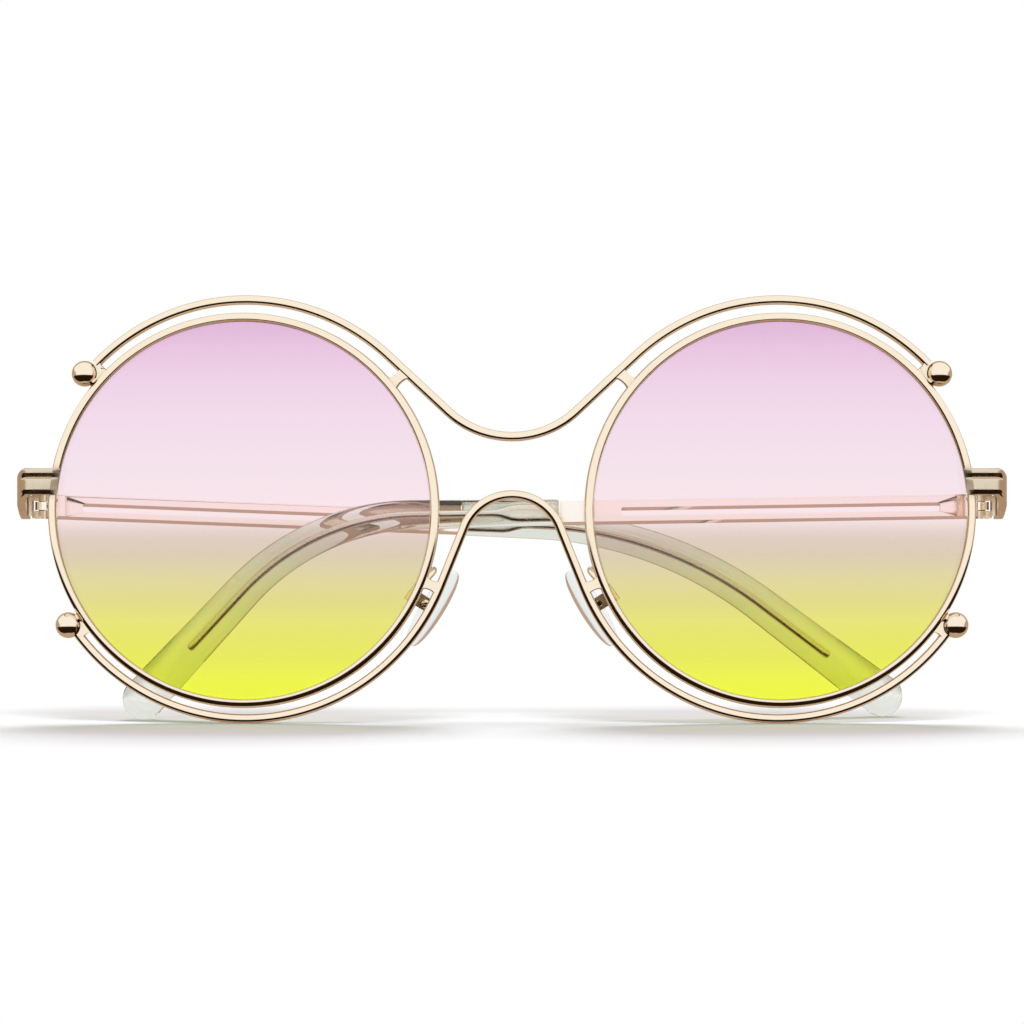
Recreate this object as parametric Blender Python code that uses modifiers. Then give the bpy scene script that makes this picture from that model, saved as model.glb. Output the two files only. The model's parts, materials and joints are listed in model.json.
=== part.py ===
"""Round sunglasses: two turned rims with graded lenses, a brow wire and a lower wire with ball ends,
rocking nose pads, and two folding temples with clear tips.

Metres, +Z up. The front faces -Y and stands upright on the lower wire, with the temples folded
behind it on their tips. "left" is the viewer's left, on -X. A piece's side is -1 or +1.
"""
import math

import bmesh
import bpy
from mathutils import Matrix, Vector

# Rims and lenses
RIM_INNER_RADIUS = 0.02810
RIM_WIDTH = 0.00124
RIM_DEPTH = 0.00180
RIM_CHAMFER = 0.00030
GROOVE_DEPTH = 0.00070
GROOVE_MOUTH = 0.00110
GROOVE_FLOOR = 0.00035
LENS_FIT = 0.00012
LENS_THICKNESS = 0.00170
LENS_CURVE_RADIUS = 0.15000
BRIDGE_WIDTH = 0.02120
FACE_WRAP = math.radians(5.7)
RIM_STEPS = 60
LENS_STEPS = 40
LENS_ROWS = 3

# Brazed joints and clearances
BRAZE_GAP = 0.00012
RUNNING_GAP = 0.00014
CUT_OVERRUN = 0.00100
MERGE_DISTANCE = 0.00001

# Facets of the small round pieces
ROD_SEGMENTS = 16
HOLE_SEGMENTS = 12
SCREW_STEPS = 12
BALL_SEGMENTS = 14
BALL_RINGS = 8
OVAL_POINTS = 12
WIRE_BEVEL_STEPS = 2
CORNER_STEP = math.radians(30.0)
SMOOTH_ANGLE = math.radians(40.0)

# Screw heads: the flat top's share of the radius, and the height where the dome starts
HEAD_TOP_SHARE = 0.8
HEAD_SHOULDER_SHARE = 0.7

# Brow wire, lower wire, their balls and posts
WIRE_DIAMETER = 0.00136
BALL_DIAMETER = 0.00385
BROW_GAP = 0.00123
BROW_SHIFT_IN = 0.00035
BROW_BALL_ANGLE = math.radians(40.5)
BROW_SLOPE = math.radians(43.0)
BROW_DIP_HEIGHT = 0.01090
LOWER_GAP = 0.00122
LOWER_SHIFT_IN = 0.00030
LOWER_SHIFT_UP = 0.00030
LOWER_BALL_ANGLE = math.radians(-33.0)
NOSE_SLOPE = math.radians(68.0)
NOSE_ARCH_HEIGHT = 0.00230
ARC_STEP = math.radians(6.0)
POST_WAIST = 0.00140
POST_FOOT = 0.00230
POST_THICKNESS = 0.00110
END_POST_WAIST = 0.00120
POST_STEPS = 6
BROW_POST_ANGLE = math.radians(40.0)
NOSE_POST_ANGLE = math.radians(-21.5)

# End pieces, closing blocks and rim screws
END_PIECE_RISE = 0.00430
END_PIECE_HEIGHT = 0.00400
END_PIECE_THICKNESS = 0.00120
END_PIECE_OVERHANG = 0.00472
END_PIECE_BEVEL = 0.00060
END_PIECE_DROP = 0.00360
END_PIECE_CORNER = 0.00320
DROP_EASE_POWER = 0.6
RIDGE_HEIGHT = 0.00045
END_PIECE_CORNER_STEPS = 6
END_PIECE_DROP_STEPS = 6
# Two rounded ridges: (share of the half height, share of the ridge height), from the bottom up
RIDGE_SHARES = ((-1.0, 0.0), (-0.92, 0.75), (-0.55, 1.0), (0.05, 0.85), (0.20, 0.0), (0.32, 0.6),
                (0.62, 1.0), (0.92, 0.65), (1.0, 0.0))
INNER_LEVEL_SHARES = (1.0, 0.5, 0.0, -0.5, -1.0)
# The ridges are whole up to the station RIDGE_FADE_FROM and gone RIDGE_FADE_OVER stations later
RIDGE_FADE_FROM = 3.0
RIDGE_FADE_OVER = 2.0
BLOCK_REACH = 0.00190
BLOCK_HEIGHT = 0.00125
BLOCK_DEPTH = 0.00220
RIM_SAW_CUT = 0.00030
RIM_SCREW_DIAMETER = 0.00100
RIM_SCREW_HEAD = 0.00160
RIM_SCREW_HEAD_HEIGHT = 0.00045

# Hinges
HINGE_DEPTH = 0.01520
KNUCKLE_DIAMETER = 0.00200
KNUCKLE_HEIGHT = 0.00120
LEAF_THICKNESS = 0.00045
LEAF_LENGTH = 0.00345
LEAF_HEIGHT = 0.00310
WEB_SHARE = 0.9
WEB_INSET = 0.00006
HINGE_SCREW_DIAMETER = 0.00090
HINGE_SCREW_HEAD = 0.00160
HINGE_SCREW_HEAD_HEIGHT = 0.00040
SCREW_FIT = 0.00008
BUTT_GAP = 0.00025

# Temples: metal bar, clear tip and its core. Each side has its own fold, droop and bend.
BAR_LENGTH = 0.06390
BAR_HEIGHT = 0.00360
BAR_THICKNESS = 0.00120
BAR_CORNER = 0.00040
SLOT_START = 0.00640
SLOT_END_WALL = 0.00940
SLOT_HEIGHT = 0.00120
SLOT_CORNER_SHARE = 0.45
TIP_START_HEIGHT = 0.00400
TIP_END_HEIGHT = 0.00640
TIP_THICKNESS = 0.00260
TIP_INWARD = 0.00400
TIP_STRAIGHT_LEFT = 0.01210
TIP_STRAIGHT_RIGHT = 0.02210
BEND_RADIUS_LEFT = 0.06000
BEND_RADIUS_RIGHT = 0.03600
TIP_ROUNDNESS = 3.0
TIP_GROWTH_POWER = 1.3
TIP_CAP_POWER = 0.5
TIP_CAP_ANGLES = [math.radians(angle) for angle in (20.0, 40.0, 60.0, 76.0)]
FOLD_ANGLE = {-1: math.radians(5.5), 1: math.radians(1.0)}
DROOP_ANGLE = {-1: math.radians(2.25), 1: math.radians(0.9)}
BEND_ANGLE = {-1: math.radians(35.0), 1: math.radians(46.5)}
CORE_HEIGHT = 0.00240
CORE_THICKNESS = 0.00080
CORE_PADDLE_LENGTH = 0.00650
CORE_TAPER_LENGTH = 0.00350
CORE_WIRE = 0.00110
CORE_STOP_SHORT = 0.01050
CORE_FIT = 0.00012
TIP_STEP = 0.00600

# Nose pads, their boxes, screws and arms
PAD_LENGTH = 0.01300
PAD_WIDTH = 0.00700
PAD_THICKNESS = 0.00220
PAD_X = 0.01190
PAD_DEPTH = 0.00950
PAD_DROP = 0.01460
PAD_LEAN = math.radians(32.0)
PAD_SPLAY = math.radians(25.0)
PAD_STAND = 0.00210
PAD_SECTIONS = 9
PAD_END_SHARE = 0.35
PAD_ROUNDNESS = 2.0
PAD_WIDTH_POWER = 0.85
PAD_THICKNESS_POWER = 0.5
LUG_LENGTH = 0.00200
LUG_WIDTH = 0.00160
LUG_BACK = 0.00080
BOX_WALL = 0.00040
BOX_CHEEK = 0.00055
PAD_SCREW_DIAMETER = 0.00080
PAD_SCREW_HEAD = 0.00130
PAD_SCREW_HEAD_HEIGHT = 0.00035
ARM_DIAMETER = 0.00090
ARM_ANGLE = math.radians(-22.0)
ARM_FOOT = 0.00060
ARM_INWARD = 0.00350
ARM_RISE = 0.00300
ARM_SWEEP = 0.00500
ARM_RETURN = 0.00640
ARM_STEPS = 16

# Finishes: colour, roughness, metallic and transmission
FINISHES = {
    "polished_champagne_metal": ((0.86, 0.74, 0.56), 0.18, 1.0, 0.0),
    "bright_screw_metal": ((0.80, 0.76, 0.68), 0.28, 1.0, 0.0),
    "core_metal": ((0.74, 0.70, 0.62), 0.30, 1.0, 0.0),
    "graded_lens": ((0.88, 0.80, 0.55), 0.04, 0.0, 0.8),
    "clear_tip": ((0.88, 0.93, 0.90), 0.08, 0.0, 0.9),
    "clear_pad": ((0.90, 0.92, 0.92), 0.20, 0.0, 0.85),
}

SIDES = {-1: "left", 1: "right"}

# Sizes worked out from the ones above
RIM_OUTER_RADIUS = RIM_INNER_RADIUS + RIM_WIDTH
LENS_X = RIM_OUTER_RADIUS + BRIDGE_WIDTH / 2
END_PIECE_REACH = LENS_X + RIM_OUTER_RADIUS + END_PIECE_OVERHANG
WIRE_RADIUS = WIRE_DIAMETER / 2
BALL_RADIUS = BALL_DIAMETER / 2
BROW_ARC_RADIUS = RIM_OUTER_RADIUS + BROW_GAP + WIRE_RADIUS
LOWER_ARC_RADIUS = RIM_OUTER_RADIUS + LOWER_GAP + WIRE_RADIUS
LENS_Z = LOWER_ARC_RADIUS + WIRE_RADIUS - LOWER_SHIFT_UP
BALL_SEAT_RADIUS = RIM_OUTER_RADIUS + BRAZE_GAP + BALL_RADIUS
BAR_OFFSET = KNUCKLE_DIAMETER / 2 + RUNNING_GAP + LEAF_THICKNESS + BRAZE_GAP
HINGE_X = END_PIECE_REACH - END_PIECE_THICKNESS - BAR_OFFSET
HINGE_Z = LENS_Z + END_PIECE_RISE - END_PIECE_DROP
SLOT_END = BAR_LENGTH - SLOT_END_WALL
TIP_STRAIGHT = {-1: TIP_STRAIGHT_LEFT, 1: TIP_STRAIGHT_RIGHT}
BEND_RADIUS = {-1: BEND_RADIUS_LEFT, 1: BEND_RADIUS_RIGHT}
FACE_FRONT = Matrix.Rotation(math.pi / 2, 4, "X")
CUTTERS = "cutters"
PARTS = "round_sunglasses"


def front_depth(x):
    """How far back the front's middle surface lies at x: curved at the bridge, straight past it."""
    half_bridge = BRIDGE_WIDTH / 2
    if abs(x) < half_bridge:
        return math.tan(FACE_WRAP) * x * x / BRIDGE_WIDTH
    return math.tan(FACE_WRAP) * (abs(x) - half_bridge / 2)


def clear_scene():
    for item in list(bpy.data.objects):
        bpy.data.objects.remove(item, do_unlink=True)


def new_collection(name):
    group = bpy.data.collections.new(name)
    bpy.context.scene.collection.children.link(group)
    return group


def new_material(name):
    colour, roughness, metallic, transmission = FINISHES[name]
    finish = bpy.data.materials.new(name)
    finish.use_nodes = True
    shader = finish.node_tree.nodes["Principled BSDF"]
    shader.inputs["Base Color"].default_value = (*colour, 1.0)
    shader.inputs["Roughness"].default_value = roughness
    shader.inputs["Metallic"].default_value = metallic
    shader.inputs["Transmission Weight"].default_value = transmission
    finish.diffuse_color = (*colour, 1.0)
    return finish


def place(name, data, finish, parent=None, matrix=None):
    """A named object with its own material, placed under a parent empty."""
    data.name = name
    data.materials.clear()
    data.materials.append(finish)
    item = bpy.data.objects.new(name, data)
    bpy.data.collections[PARTS].objects.link(item)
    item.parent = parent
    if matrix is not None:
        item.matrix_local = matrix
    return item


def new_empty(name, location, rotation=(0.0, 0.0, 0.0), parent=None):
    item = bpy.data.objects.new(name, None)
    bpy.data.collections[PARTS].objects.link(item)
    item.location = location
    item.rotation_euler = rotation
    item.parent = parent
    return item


def new_cutter(name, data, parent=None, matrix=None):
    item = bpy.data.objects.new(name, data)
    bpy.data.collections[CUTTERS].objects.link(item)
    item.hide_render = True
    item.display_type = "WIRE"
    item.parent = parent
    if matrix is not None:
        item.matrix_local = matrix
    return item


def boolean(item, cutter, operation):
    modifier = item.modifiers.new(operation.lower(), "BOOLEAN")
    modifier.operation = operation
    modifier.object = cutter


def finish_mesh(shape):
    """A mesh from bmesh, with its faces pointing out and round stretches shaded smooth."""
    bmesh.ops.recalc_face_normals(shape, faces=shape.faces)
    mesh = bpy.data.meshes.new("shape")
    shape.to_mesh(mesh)
    shape.free()
    mesh.shade_smooth()
    mesh.set_sharp_from_angle(angle=SMOOTH_ANGLE)
    return mesh


def box_mesh(low, high):
    """A box between two corners."""
    shape = bmesh.new()
    bmesh.ops.create_cube(shape, size=1.0)
    for vert in shape.verts:
        for axis in range(3):
            vert.co[axis] = high[axis] if vert.co[axis] > 0 else low[axis]
    return finish_mesh(shape)


def rod_mesh(radius, start, end, segments=ROD_SEGMENTS):
    """A cylinder between two points."""
    start = Vector(start)
    end = Vector(end)
    shape = bmesh.new()
    bmesh.ops.create_cone(shape, cap_ends=True, segments=segments, radius1=radius, radius2=radius,
                          depth=(end - start).length)
    aim = (end - start).to_track_quat("Z", "Y").to_matrix().to_4x4()
    bmesh.ops.transform(shape, matrix=Matrix.Translation((start + end) / 2) @ aim, verts=shape.verts)
    return finish_mesh(shape)


def ball_mesh(radius):
    shape = bmesh.new()
    bmesh.ops.create_uvsphere(shape, u_segments=BALL_SEGMENTS, v_segments=BALL_RINGS, radius=radius)
    return finish_mesh(shape)


def screw_mesh(shank_radius, head_radius, head_height, start, end):
    """A turned screw: a head above start and a shank down to end, along a straight line."""
    start = Vector(start)
    end = Vector(end)
    length = (end - start).length
    profile = [(0.0, head_height), (head_radius * HEAD_TOP_SHARE, head_height),
               (head_radius, head_height * HEAD_SHOULDER_SHARE), (head_radius, 0.0),
               (shank_radius, 0.0), (shank_radius, -length), (0.0, -length)]
    shape = bmesh.new()
    verts = [shape.verts.new((r, 0.0, z)) for r, z in profile]
    edges = [shape.edges.new(pair) for pair in zip(verts, verts[1:])]
    bmesh.ops.spin(shape, geom=verts + edges, cent=(0.0, 0.0, 0.0), axis=(0.0, 0.0, 1.0),
                   angle=math.tau, steps=SCREW_STEPS, use_merge=True)
    bmesh.ops.remove_doubles(shape, verts=shape.verts, dist=MERGE_DISTANCE)
    aim = (start - end).to_track_quat("Z", "Y").to_matrix().to_4x4()
    bmesh.ops.transform(shape, matrix=Matrix.Translation(start) @ aim, verts=shape.verts)
    return finish_mesh(shape)


def profile_mesh(points, closed):
    """The section of a turned piece, in the XZ plane."""
    mesh = bpy.data.meshes.new("profile")
    edges = [(i, i + 1) for i in range(len(points) - 1)]
    if closed:
        edges.append((len(points) - 1, 0))
    mesh.from_pydata([(r, 0.0, z) for r, z in points], edges, [])
    return mesh


def turn(item, steps):
    screw = item.modifiers.new("turned", "SCREW")
    screw.axis = "Z"
    screw.steps = steps
    screw.render_steps = steps
    screw.use_merge_vertices = True
    screw.merge_threshold = MERGE_DISTANCE
    screw.use_smooth_shade = True


def loft_mesh(rings):
    """A skin over rings of equally many points, closed by a face at each end."""
    shape = bmesh.new()
    loops = [[shape.verts.new(point) for point in ring] for ring in rings]
    for near, far in zip(loops, loops[1:]):
        count = len(near)
        for i in range(count):
            shape.faces.new((near[i], near[(i + 1) % count], far[(i + 1) % count], far[i]))
    shape.faces.new(loops[0])
    shape.faces.new(loops[-1])
    return finish_mesh(shape)


def oval(half_width, half_height, roundness):
    """Points of a rounded rectangle or ellipse: roundness 2 is an ellipse, 4 is nearly square."""
    points = []
    for i in range(OVAL_POINTS):
        angle = math.tau * (i + 0.5) / OVAL_POINTS
        across = math.copysign(abs(math.cos(angle)) ** (2 / roundness), math.cos(angle))
        along = math.copysign(abs(math.sin(angle)) ** (2 / roundness), math.sin(angle))
        points.append((half_width * across, half_height * along))
    return points


def poly_curve(points, radius):
    """A round wire along points, with flat capped ends."""
    curve = bpy.data.curves.new("wire", "CURVE")
    curve.dimensions = "3D"
    curve.twist_mode = "Z_UP"
    curve.bevel_depth = radius
    curve.bevel_resolution = WIRE_BEVEL_STEPS
    curve.use_fill_caps = True
    spline = curve.splines.new("POLY")
    spline.points.add(len(points) - 1)
    for knot, point in zip(spline.points, points):
        knot.co = (*point, 1.0)
        knot.radius = 1.0
    return curve


def flat_curve(outlines, thickness):
    """A flat plate from closed outlines; an outline inside another is a hole."""
    curve = bpy.data.curves.new("plate", "CURVE")
    curve.dimensions = "2D"
    curve.fill_mode = "BOTH"
    curve.extrude = thickness / 2
    for outline in outlines:
        spline = curve.splines.new("POLY")
        spline.points.add(len(outline) - 1)
        for knot, point in zip(spline.points, outline):
            knot.co = (*point, 0.0, 1.0)
        spline.use_cyclic_u = True
    return curve


def arc(centre, radius, first, last, step):
    """Points on an arc in a plane, both ends included."""
    count = max(2, math.ceil(abs(last - first) / step))
    angles = [first + (last - first) * i / count for i in range(count + 1)]
    return [(centre[0] + radius * math.cos(a), centre[1] + radius * math.sin(a)) for a in angles]


def rounded_box_outline(low, high, corner):
    """A rectangle with round corners, as points in a plane."""
    centres = [(high[0] - corner, high[1] - corner), (low[0] + corner, high[1] - corner),
               (low[0] + corner, low[1] + corner), (high[0] - corner, low[1] + corner)]
    points = []
    for quarter, centre in enumerate(centres):
        first = quarter * math.pi / 2
        points += arc(centre, corner, first, first + math.pi / 2, CORNER_STEP)
    return points


def lens_frame(side):
    """The empty at a lens centre, turned with the wrap of the front."""
    return new_empty("lens_frame_" + SIDES[side], (side * LENS_X, front_depth(LENS_X), LENS_Z),
                     (0.0, 0.0, side * FACE_WRAP))


def rim_section():
    half = RIM_DEPTH / 2
    floor = RIM_INNER_RADIUS + GROOVE_DEPTH
    return [(RIM_OUTER_RADIUS - RIM_CHAMFER, half), (RIM_OUTER_RADIUS, half - RIM_CHAMFER),
            (RIM_OUTER_RADIUS, RIM_CHAMFER - half), (RIM_OUTER_RADIUS - RIM_CHAMFER, -half),
            (RIM_INNER_RADIUS, -half), (RIM_INNER_RADIUS, -GROOVE_MOUTH / 2),
            (floor, -GROOVE_FLOOR / 2), (floor, GROOVE_FLOOR / 2),
            (RIM_INNER_RADIUS, GROOVE_MOUTH / 2), (RIM_INNER_RADIUS, half)]


def lens_section():
    """A meniscus whose edge is bevelled to a ridge that sits in the rim's groove."""
    rows = LENS_ROWS
    body = RIM_INNER_RADIUS - LENS_FIT
    ridge = RIM_INNER_RADIUS + GROOVE_DEPTH - LENS_FIT
    foot = GROOVE_MOUTH / 2 - LENS_FIT
    crest = GROOVE_FLOOR / 2 - LENS_FIT / 2
    rise = [math.sqrt(LENS_CURVE_RADIUS ** 2 - (body * i / rows) ** 2) for i in range(rows + 1)]
    bulge = [height - rise[-1] for height in rise]
    half = LENS_THICKNESS / 2
    front = [(body * i / rows, half + bulge[i]) for i in range(rows + 1)]
    back = [(body * i / rows, bulge[i] - half) for i in range(rows, -1, -1)]
    edge = [(body, foot), (ridge, crest), (ridge, -crest), (body, -foot)]
    return front + edge + back


def make_rim(side, frame, finish):
    item = place("rim_" + SIDES[side], profile_mesh(rim_section(), True), finish, frame, FACE_FRONT)
    turn(item, RIM_STEPS)
    angle = math.asin(END_PIECE_RISE / RIM_OUTER_RADIUS)
    low = (RIM_INNER_RADIUS - CUT_OVERRUN, -RIM_DEPTH, -RIM_SAW_CUT / 2)
    high = (RIM_OUTER_RADIUS + CUT_OVERRUN, RIM_DEPTH, RIM_SAW_CUT / 2)
    saw = new_cutter("rim_saw_" + SIDES[side], box_mesh(low, high), frame, radial(side, angle, True))
    boolean(item, saw, "DIFFERENCE")


def radial(side, angle, outward):
    """A turn within the lens plane that carries local X to a spoke at this angle above level.

    The spoke points to the temple if outward, or else to the nose.
    """
    toward = side if outward else -side
    turned = angle if toward > 0 else math.pi - angle
    return Matrix.Rotation(-turned, 4, "Y")


def make_lens(side, frame, finish):
    item = place("lens_" + SIDES[side], profile_mesh(lens_section(), False), finish, frame, FACE_FRONT)
    turn(item, LENS_STEPS)


def brow_half():
    """The right half of the brow wire in front view, from the ball down to the bridge."""
    centre = (LENS_X - BROW_SHIFT_IN, LENS_Z)
    stop = BROW_BALL_ANGLE + (BALL_RADIUS + BRAZE_GAP) / BROW_ARC_RADIUS
    turned = math.pi / 2 + BROW_SLOPE
    over = arc(centre, BROW_ARC_RADIUS, stop, turned, ARC_STEP)
    low = LENS_Z + BROW_DIP_HEIGHT
    return over + valley(over[-1], BROW_SLOPE, low)


def valley(start, slope, low):
    """Points of the arc that a straight run down from start meets, with its foot on the middle line.

    The run slopes down to the middle; the arc is tangent to it and level at x = 0, height low.
    """
    run = math.tan(slope)
    # The arc's radius puts its tangent point on the run.
    radius = (start[1] - low - run * start[0]) / (1 - math.cos(slope) - run * math.sin(slope))
    count = math.ceil(slope / ARC_STEP)
    angles = [slope * (1 - i / count) for i in range(count + 1)]
    return [(radius * math.sin(a), low + radius * (1 - math.cos(a))) for a in angles]


def lower_half():
    """The right half of the lower wire in front view, from the ball up to the nose arch."""
    centre = (LENS_X - LOWER_SHIFT_IN, LENS_Z + LOWER_SHIFT_UP)
    stop = LOWER_BALL_ANGLE - (BALL_RADIUS + BRAZE_GAP) / LOWER_ARC_RADIUS
    turned = -math.pi / 2 - NOSE_SLOPE
    under = arc(centre, LOWER_ARC_RADIUS, stop, -math.pi / 2, ARC_STEP)
    under += arc(centre, LOWER_ARC_RADIUS, -math.pi / 2, turned, ARC_STEP)[1:]
    top = LENS_Z + NOSE_ARCH_HEIGHT
    mirrored = valley((under[-1][0], -under[-1][1]), NOSE_SLOPE, -top)
    return under + [(x, -z) for x, z in mirrored]


def whole_wire(half):
    """Both halves joined at the middle, laid on the front's curved surface, as world points."""
    line = [(-x, z) for x, z in half[:-1]] + [(x, z) for x, z in reversed(half)]
    return [Vector((x, front_depth(x), z)) for x, z in line]


def make_wire(name, points, finish):
    """A wire drawn in its own XY plane, with its depth along local -Z, then stood upright."""
    local = [(p.x, p.z, -p.y) for p in points]
    place(name, poly_curve(local, WIRE_RADIUS), finish, None, FACE_FRONT)


def wire_reach(points, frame, side, angle, outward):
    """Distance from the lens centre to a wire's middle line, along a spoke in the lens plane."""
    inverse = (frame.matrix_basis @ radial(side, angle, outward)).inverted()
    spoke = [inverse @ p for p in points]
    reaches = []
    for a, b in zip(spoke, spoke[1:]):
        if a.x > 0 and b.x > 0 and min(a.z, b.z) <= 0 < max(a.z, b.z):
            share = a.z / (a.z - b.z)
            reaches.append(a.x + share * (b.x - a.x))
    return min(reaches)


def ball_edge(radius):
    """Angle between a ball's spoke and the point where its joint meets a circle of this radius."""
    reach = BALL_RADIUS + BRAZE_GAP
    cosine = (radius ** 2 + BALL_SEAT_RADIUS ** 2 - reach ** 2) / (2 * radius * BALL_SEAT_RADIUS)
    return math.acos(cosine)


def post_side(wire, frame, side, angle, outward, way, beside):
    """One side of a post from the rim to the wire, as radii and turns from the spoke at angle.

    way is the side, -1 or 1. A post beside a ball follows the ball's joint on its side -1.
    """
    near = RIM_OUTER_RADIUS + BRAZE_GAP
    waist = END_POST_WAIST if beside else POST_WAIST / 2
    seat = ball_edge(BALL_SEAT_RADIUS) if beside else 0.0
    follows = beside and way < 0
    points = []
    for i in range(POST_STEPS + 1):
        share = i / POST_STEPS
        flare = (POST_FOOT - POST_WAIST) / 2 * (2 * share - 1) ** 2
        turned = seat + way * (waist + (0.0 if follows else flare)) / near
        if follows:
            turned = seat + waist / 2 / near
        reach = wire_reach(wire, frame, side, angle + (beside or 1) * turned, outward)
        radius = near + (reach - WIRE_RADIUS - BRAZE_GAP - near) * share
        points.append((radius, ball_edge(radius) if follows else turned))
    return points


def make_post(name, wire, frame, side, angle, outward, finish, beside=0):
    """A flat web with a waist between the rim and a wire, on a spoke or beside a ball's spoke.

    beside is 0, or 1 or -1 for a web above or below a ball.
    """
    near = post_side(wire, frame, side, angle, outward, -1, beside)
    far = post_side(wire, frame, side, angle, outward, 1, beside)
    up = (side if outward else -side) * (beside or 1)
    outline = [(r * math.cos(a), up * r * math.sin(a)) for r, a in near + far[::-1]]
    place(name, flat_curve([outline], POST_THICKNESS), finish, frame,
          radial(side, angle, outward) @ FACE_FRONT)


def make_balls_and_posts(side, frame, brow, lower, finish):
    tag = SIDES[side]
    for name, angle, beside, wire in (("brow", BROW_BALL_ANGLE, 1, brow),
                                      ("lower", LOWER_BALL_ANGLE, -1, lower)):
        seat = radial(side, angle, True) @ Matrix.Translation((BALL_SEAT_RADIUS, 0.0, 0.0))
        place(name + "_ball_" + tag, ball_mesh(BALL_RADIUS), finish, frame, seat)
        make_post(name + "_end_post_" + tag, wire, frame, side, angle, True, finish, beside)
    make_post("brow_post_" + tag, brow, frame, side, BROW_POST_ANGLE, False, finish)
    make_post("nose_post_" + tag, lower, frame, side, NOSE_POST_ANGLE, False, finish)


def rim_edge(rise):
    """Reach of the rim's inner edge in the lens plane, from the lens centre, at a height above it."""
    return math.sqrt(RIM_INNER_RADIUS ** 2 - rise ** 2)


def end_piece_path():
    """Stations of an end piece: place on its middle line and the direction that it faces.

    It starts in front of the rim, runs outward, turns back round a corner and drops to the hinge.
    """
    rise = LENS_Z + END_PIECE_RISE
    inner = LENS_X + rim_edge(END_PIECE_RISE) * math.cos(FACE_WRAP)
    outer = END_PIECE_REACH - END_PIECE_THICKNESS / 2
    stand = RIM_DEPTH / 2 + BRAZE_GAP + END_PIECE_THICKNESS / 2
    depth = front_depth(inner) - stand / math.cos(FACE_WRAP)
    bevel = inner + END_PIECE_BEVEL * math.cos(FACE_WRAP)
    centre = Vector((outer - END_PIECE_CORNER, depth + END_PIECE_CORNER
                     + (outer - END_PIECE_CORNER - inner) * math.tan(FACE_WRAP), 0.0))
    forward = FACE_WRAP - math.pi / 2
    stations = [(Vector((inner, depth, rise)), forward),
                (Vector((bevel, depth + (bevel - inner) * math.tan(FACE_WRAP), rise)), forward)]
    back = HINGE_DEPTH - BRAZE_GAP
    bend = END_PIECE_CORNER * math.pi / 2
    run = bend + back - centre.y
    for i in range(END_PIECE_CORNER_STEPS + 1):
        share = i / END_PIECE_CORNER_STEPS
        facing = forward * (1 - share)
        reach = Vector((math.cos(facing), math.sin(facing), 0.0)) * END_PIECE_CORNER
        level = Vector((0.0, 0.0, rise - end_piece_drop(bend * share / run)))
        stations.append((centre + reach + level, facing))
    for i in range(1, END_PIECE_DROP_STEPS + 1):
        share = i / END_PIECE_DROP_STEPS
        drop = end_piece_drop((bend + (run - bend) * share) / run)
        stations.append((Vector((outer, centre.y + (back - centre.y) * share, rise - drop)), 0.0))
    return stations


def end_piece_drop(share):
    """Fall of an end piece below its front, at a share of the way from its corner to the hinge."""
    eased = share ** DROP_EASE_POWER
    return END_PIECE_DROP * eased * eased * (3 - 2 * eased)


def end_piece_section(fade):
    """Outline of an end piece as (outward, up): two rounded ridges that fade towards the hinge."""
    half = END_PIECE_HEIGHT / 2
    body = END_PIECE_THICKNESS / 2
    shelf = body - RIDGE_HEIGHT * fade
    outer = [(shelf + RIDGE_HEIGHT * fade * swell, half * level) for level, swell in RIDGE_SHARES]
    inner = [(-body, half * level) for level in INNER_LEVEL_SHARES]
    return outer + inner


def make_end_piece(side, finish):
    """The ridged end piece; its inner end follows the rim's inner edge and is bevelled."""
    rings = []
    for i, (at, facing) in enumerate(end_piece_path()):
        fade = max(0.0, min(1.0, 1.0 - (i - RIDGE_FADE_FROM) / RIDGE_FADE_OVER))
        out = Vector((math.cos(facing), math.sin(facing), 0.0))
        along = Vector((-math.sin(facing), math.cos(facing), 0.0))
        ring = []
        for n, z in end_piece_section(fade):
            shift = rim_edge(END_PIECE_RISE + z) - rim_edge(END_PIECE_RISE) if i < 2 else 0.0
            n = min(n, END_PIECE_THICKNESS / 2 - END_PIECE_BEVEL) if i == 0 else n
            ring.append(at + out * n + along * shift + Vector((0.0, 0.0, z)))
        rings.append([(side * p.x, p.y, p.z) for p in ring])
    place("end_piece_" + SIDES[side], loft_mesh(rings), finish)


def make_closing_blocks(side, frame, finish, screw_finish):
    """Two blocks on the rim's ends, behind the end piece, and the screw that draws them together."""
    tag = SIDES[side]
    angle = math.asin(END_PIECE_RISE / RIM_OUTER_RADIUS)
    spoke = radial(side, angle, True)
    near = RIM_OUTER_RADIUS + BRAZE_GAP
    back = -RIM_DEPTH / 2
    centre = near + BLOCK_REACH / 2
    middle = back + BLOCK_DEPTH / 2
    top = RIM_SAW_CUT / 2 + BLOCK_HEIGHT
    hole = rod_mesh(RIM_SCREW_DIAMETER / 2 + SCREW_FIT, (centre, middle, top + CUT_OVERRUN),
                    (centre, middle, -top - CUT_OVERRUN))
    cutter = new_cutter("rim_screw_hole_" + tag, hole, frame, spoke)
    for name, up in (("upper", 1), ("lower", -1)):
        ends = sorted((side * up * RIM_SAW_CUT / 2, side * up * top))
        mesh = box_mesh((near, back, ends[0]), (near + BLOCK_REACH, back + BLOCK_DEPTH, ends[1]))
        block = place("closing_block_" + name + "_" + tag, mesh, finish, frame, spoke)
        boolean(block, cutter, "DIFFERENCE")
    start = (centre, middle, side * (top + BRAZE_GAP))
    end = (centre, middle, -side * top)
    screw = screw_mesh(RIM_SCREW_DIAMETER / 2, RIM_SCREW_HEAD / 2, RIM_SCREW_HEAD_HEIGHT, start, end)
    place("rim_screw_" + tag, screw, screw_finish, frame, spoke)


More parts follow.
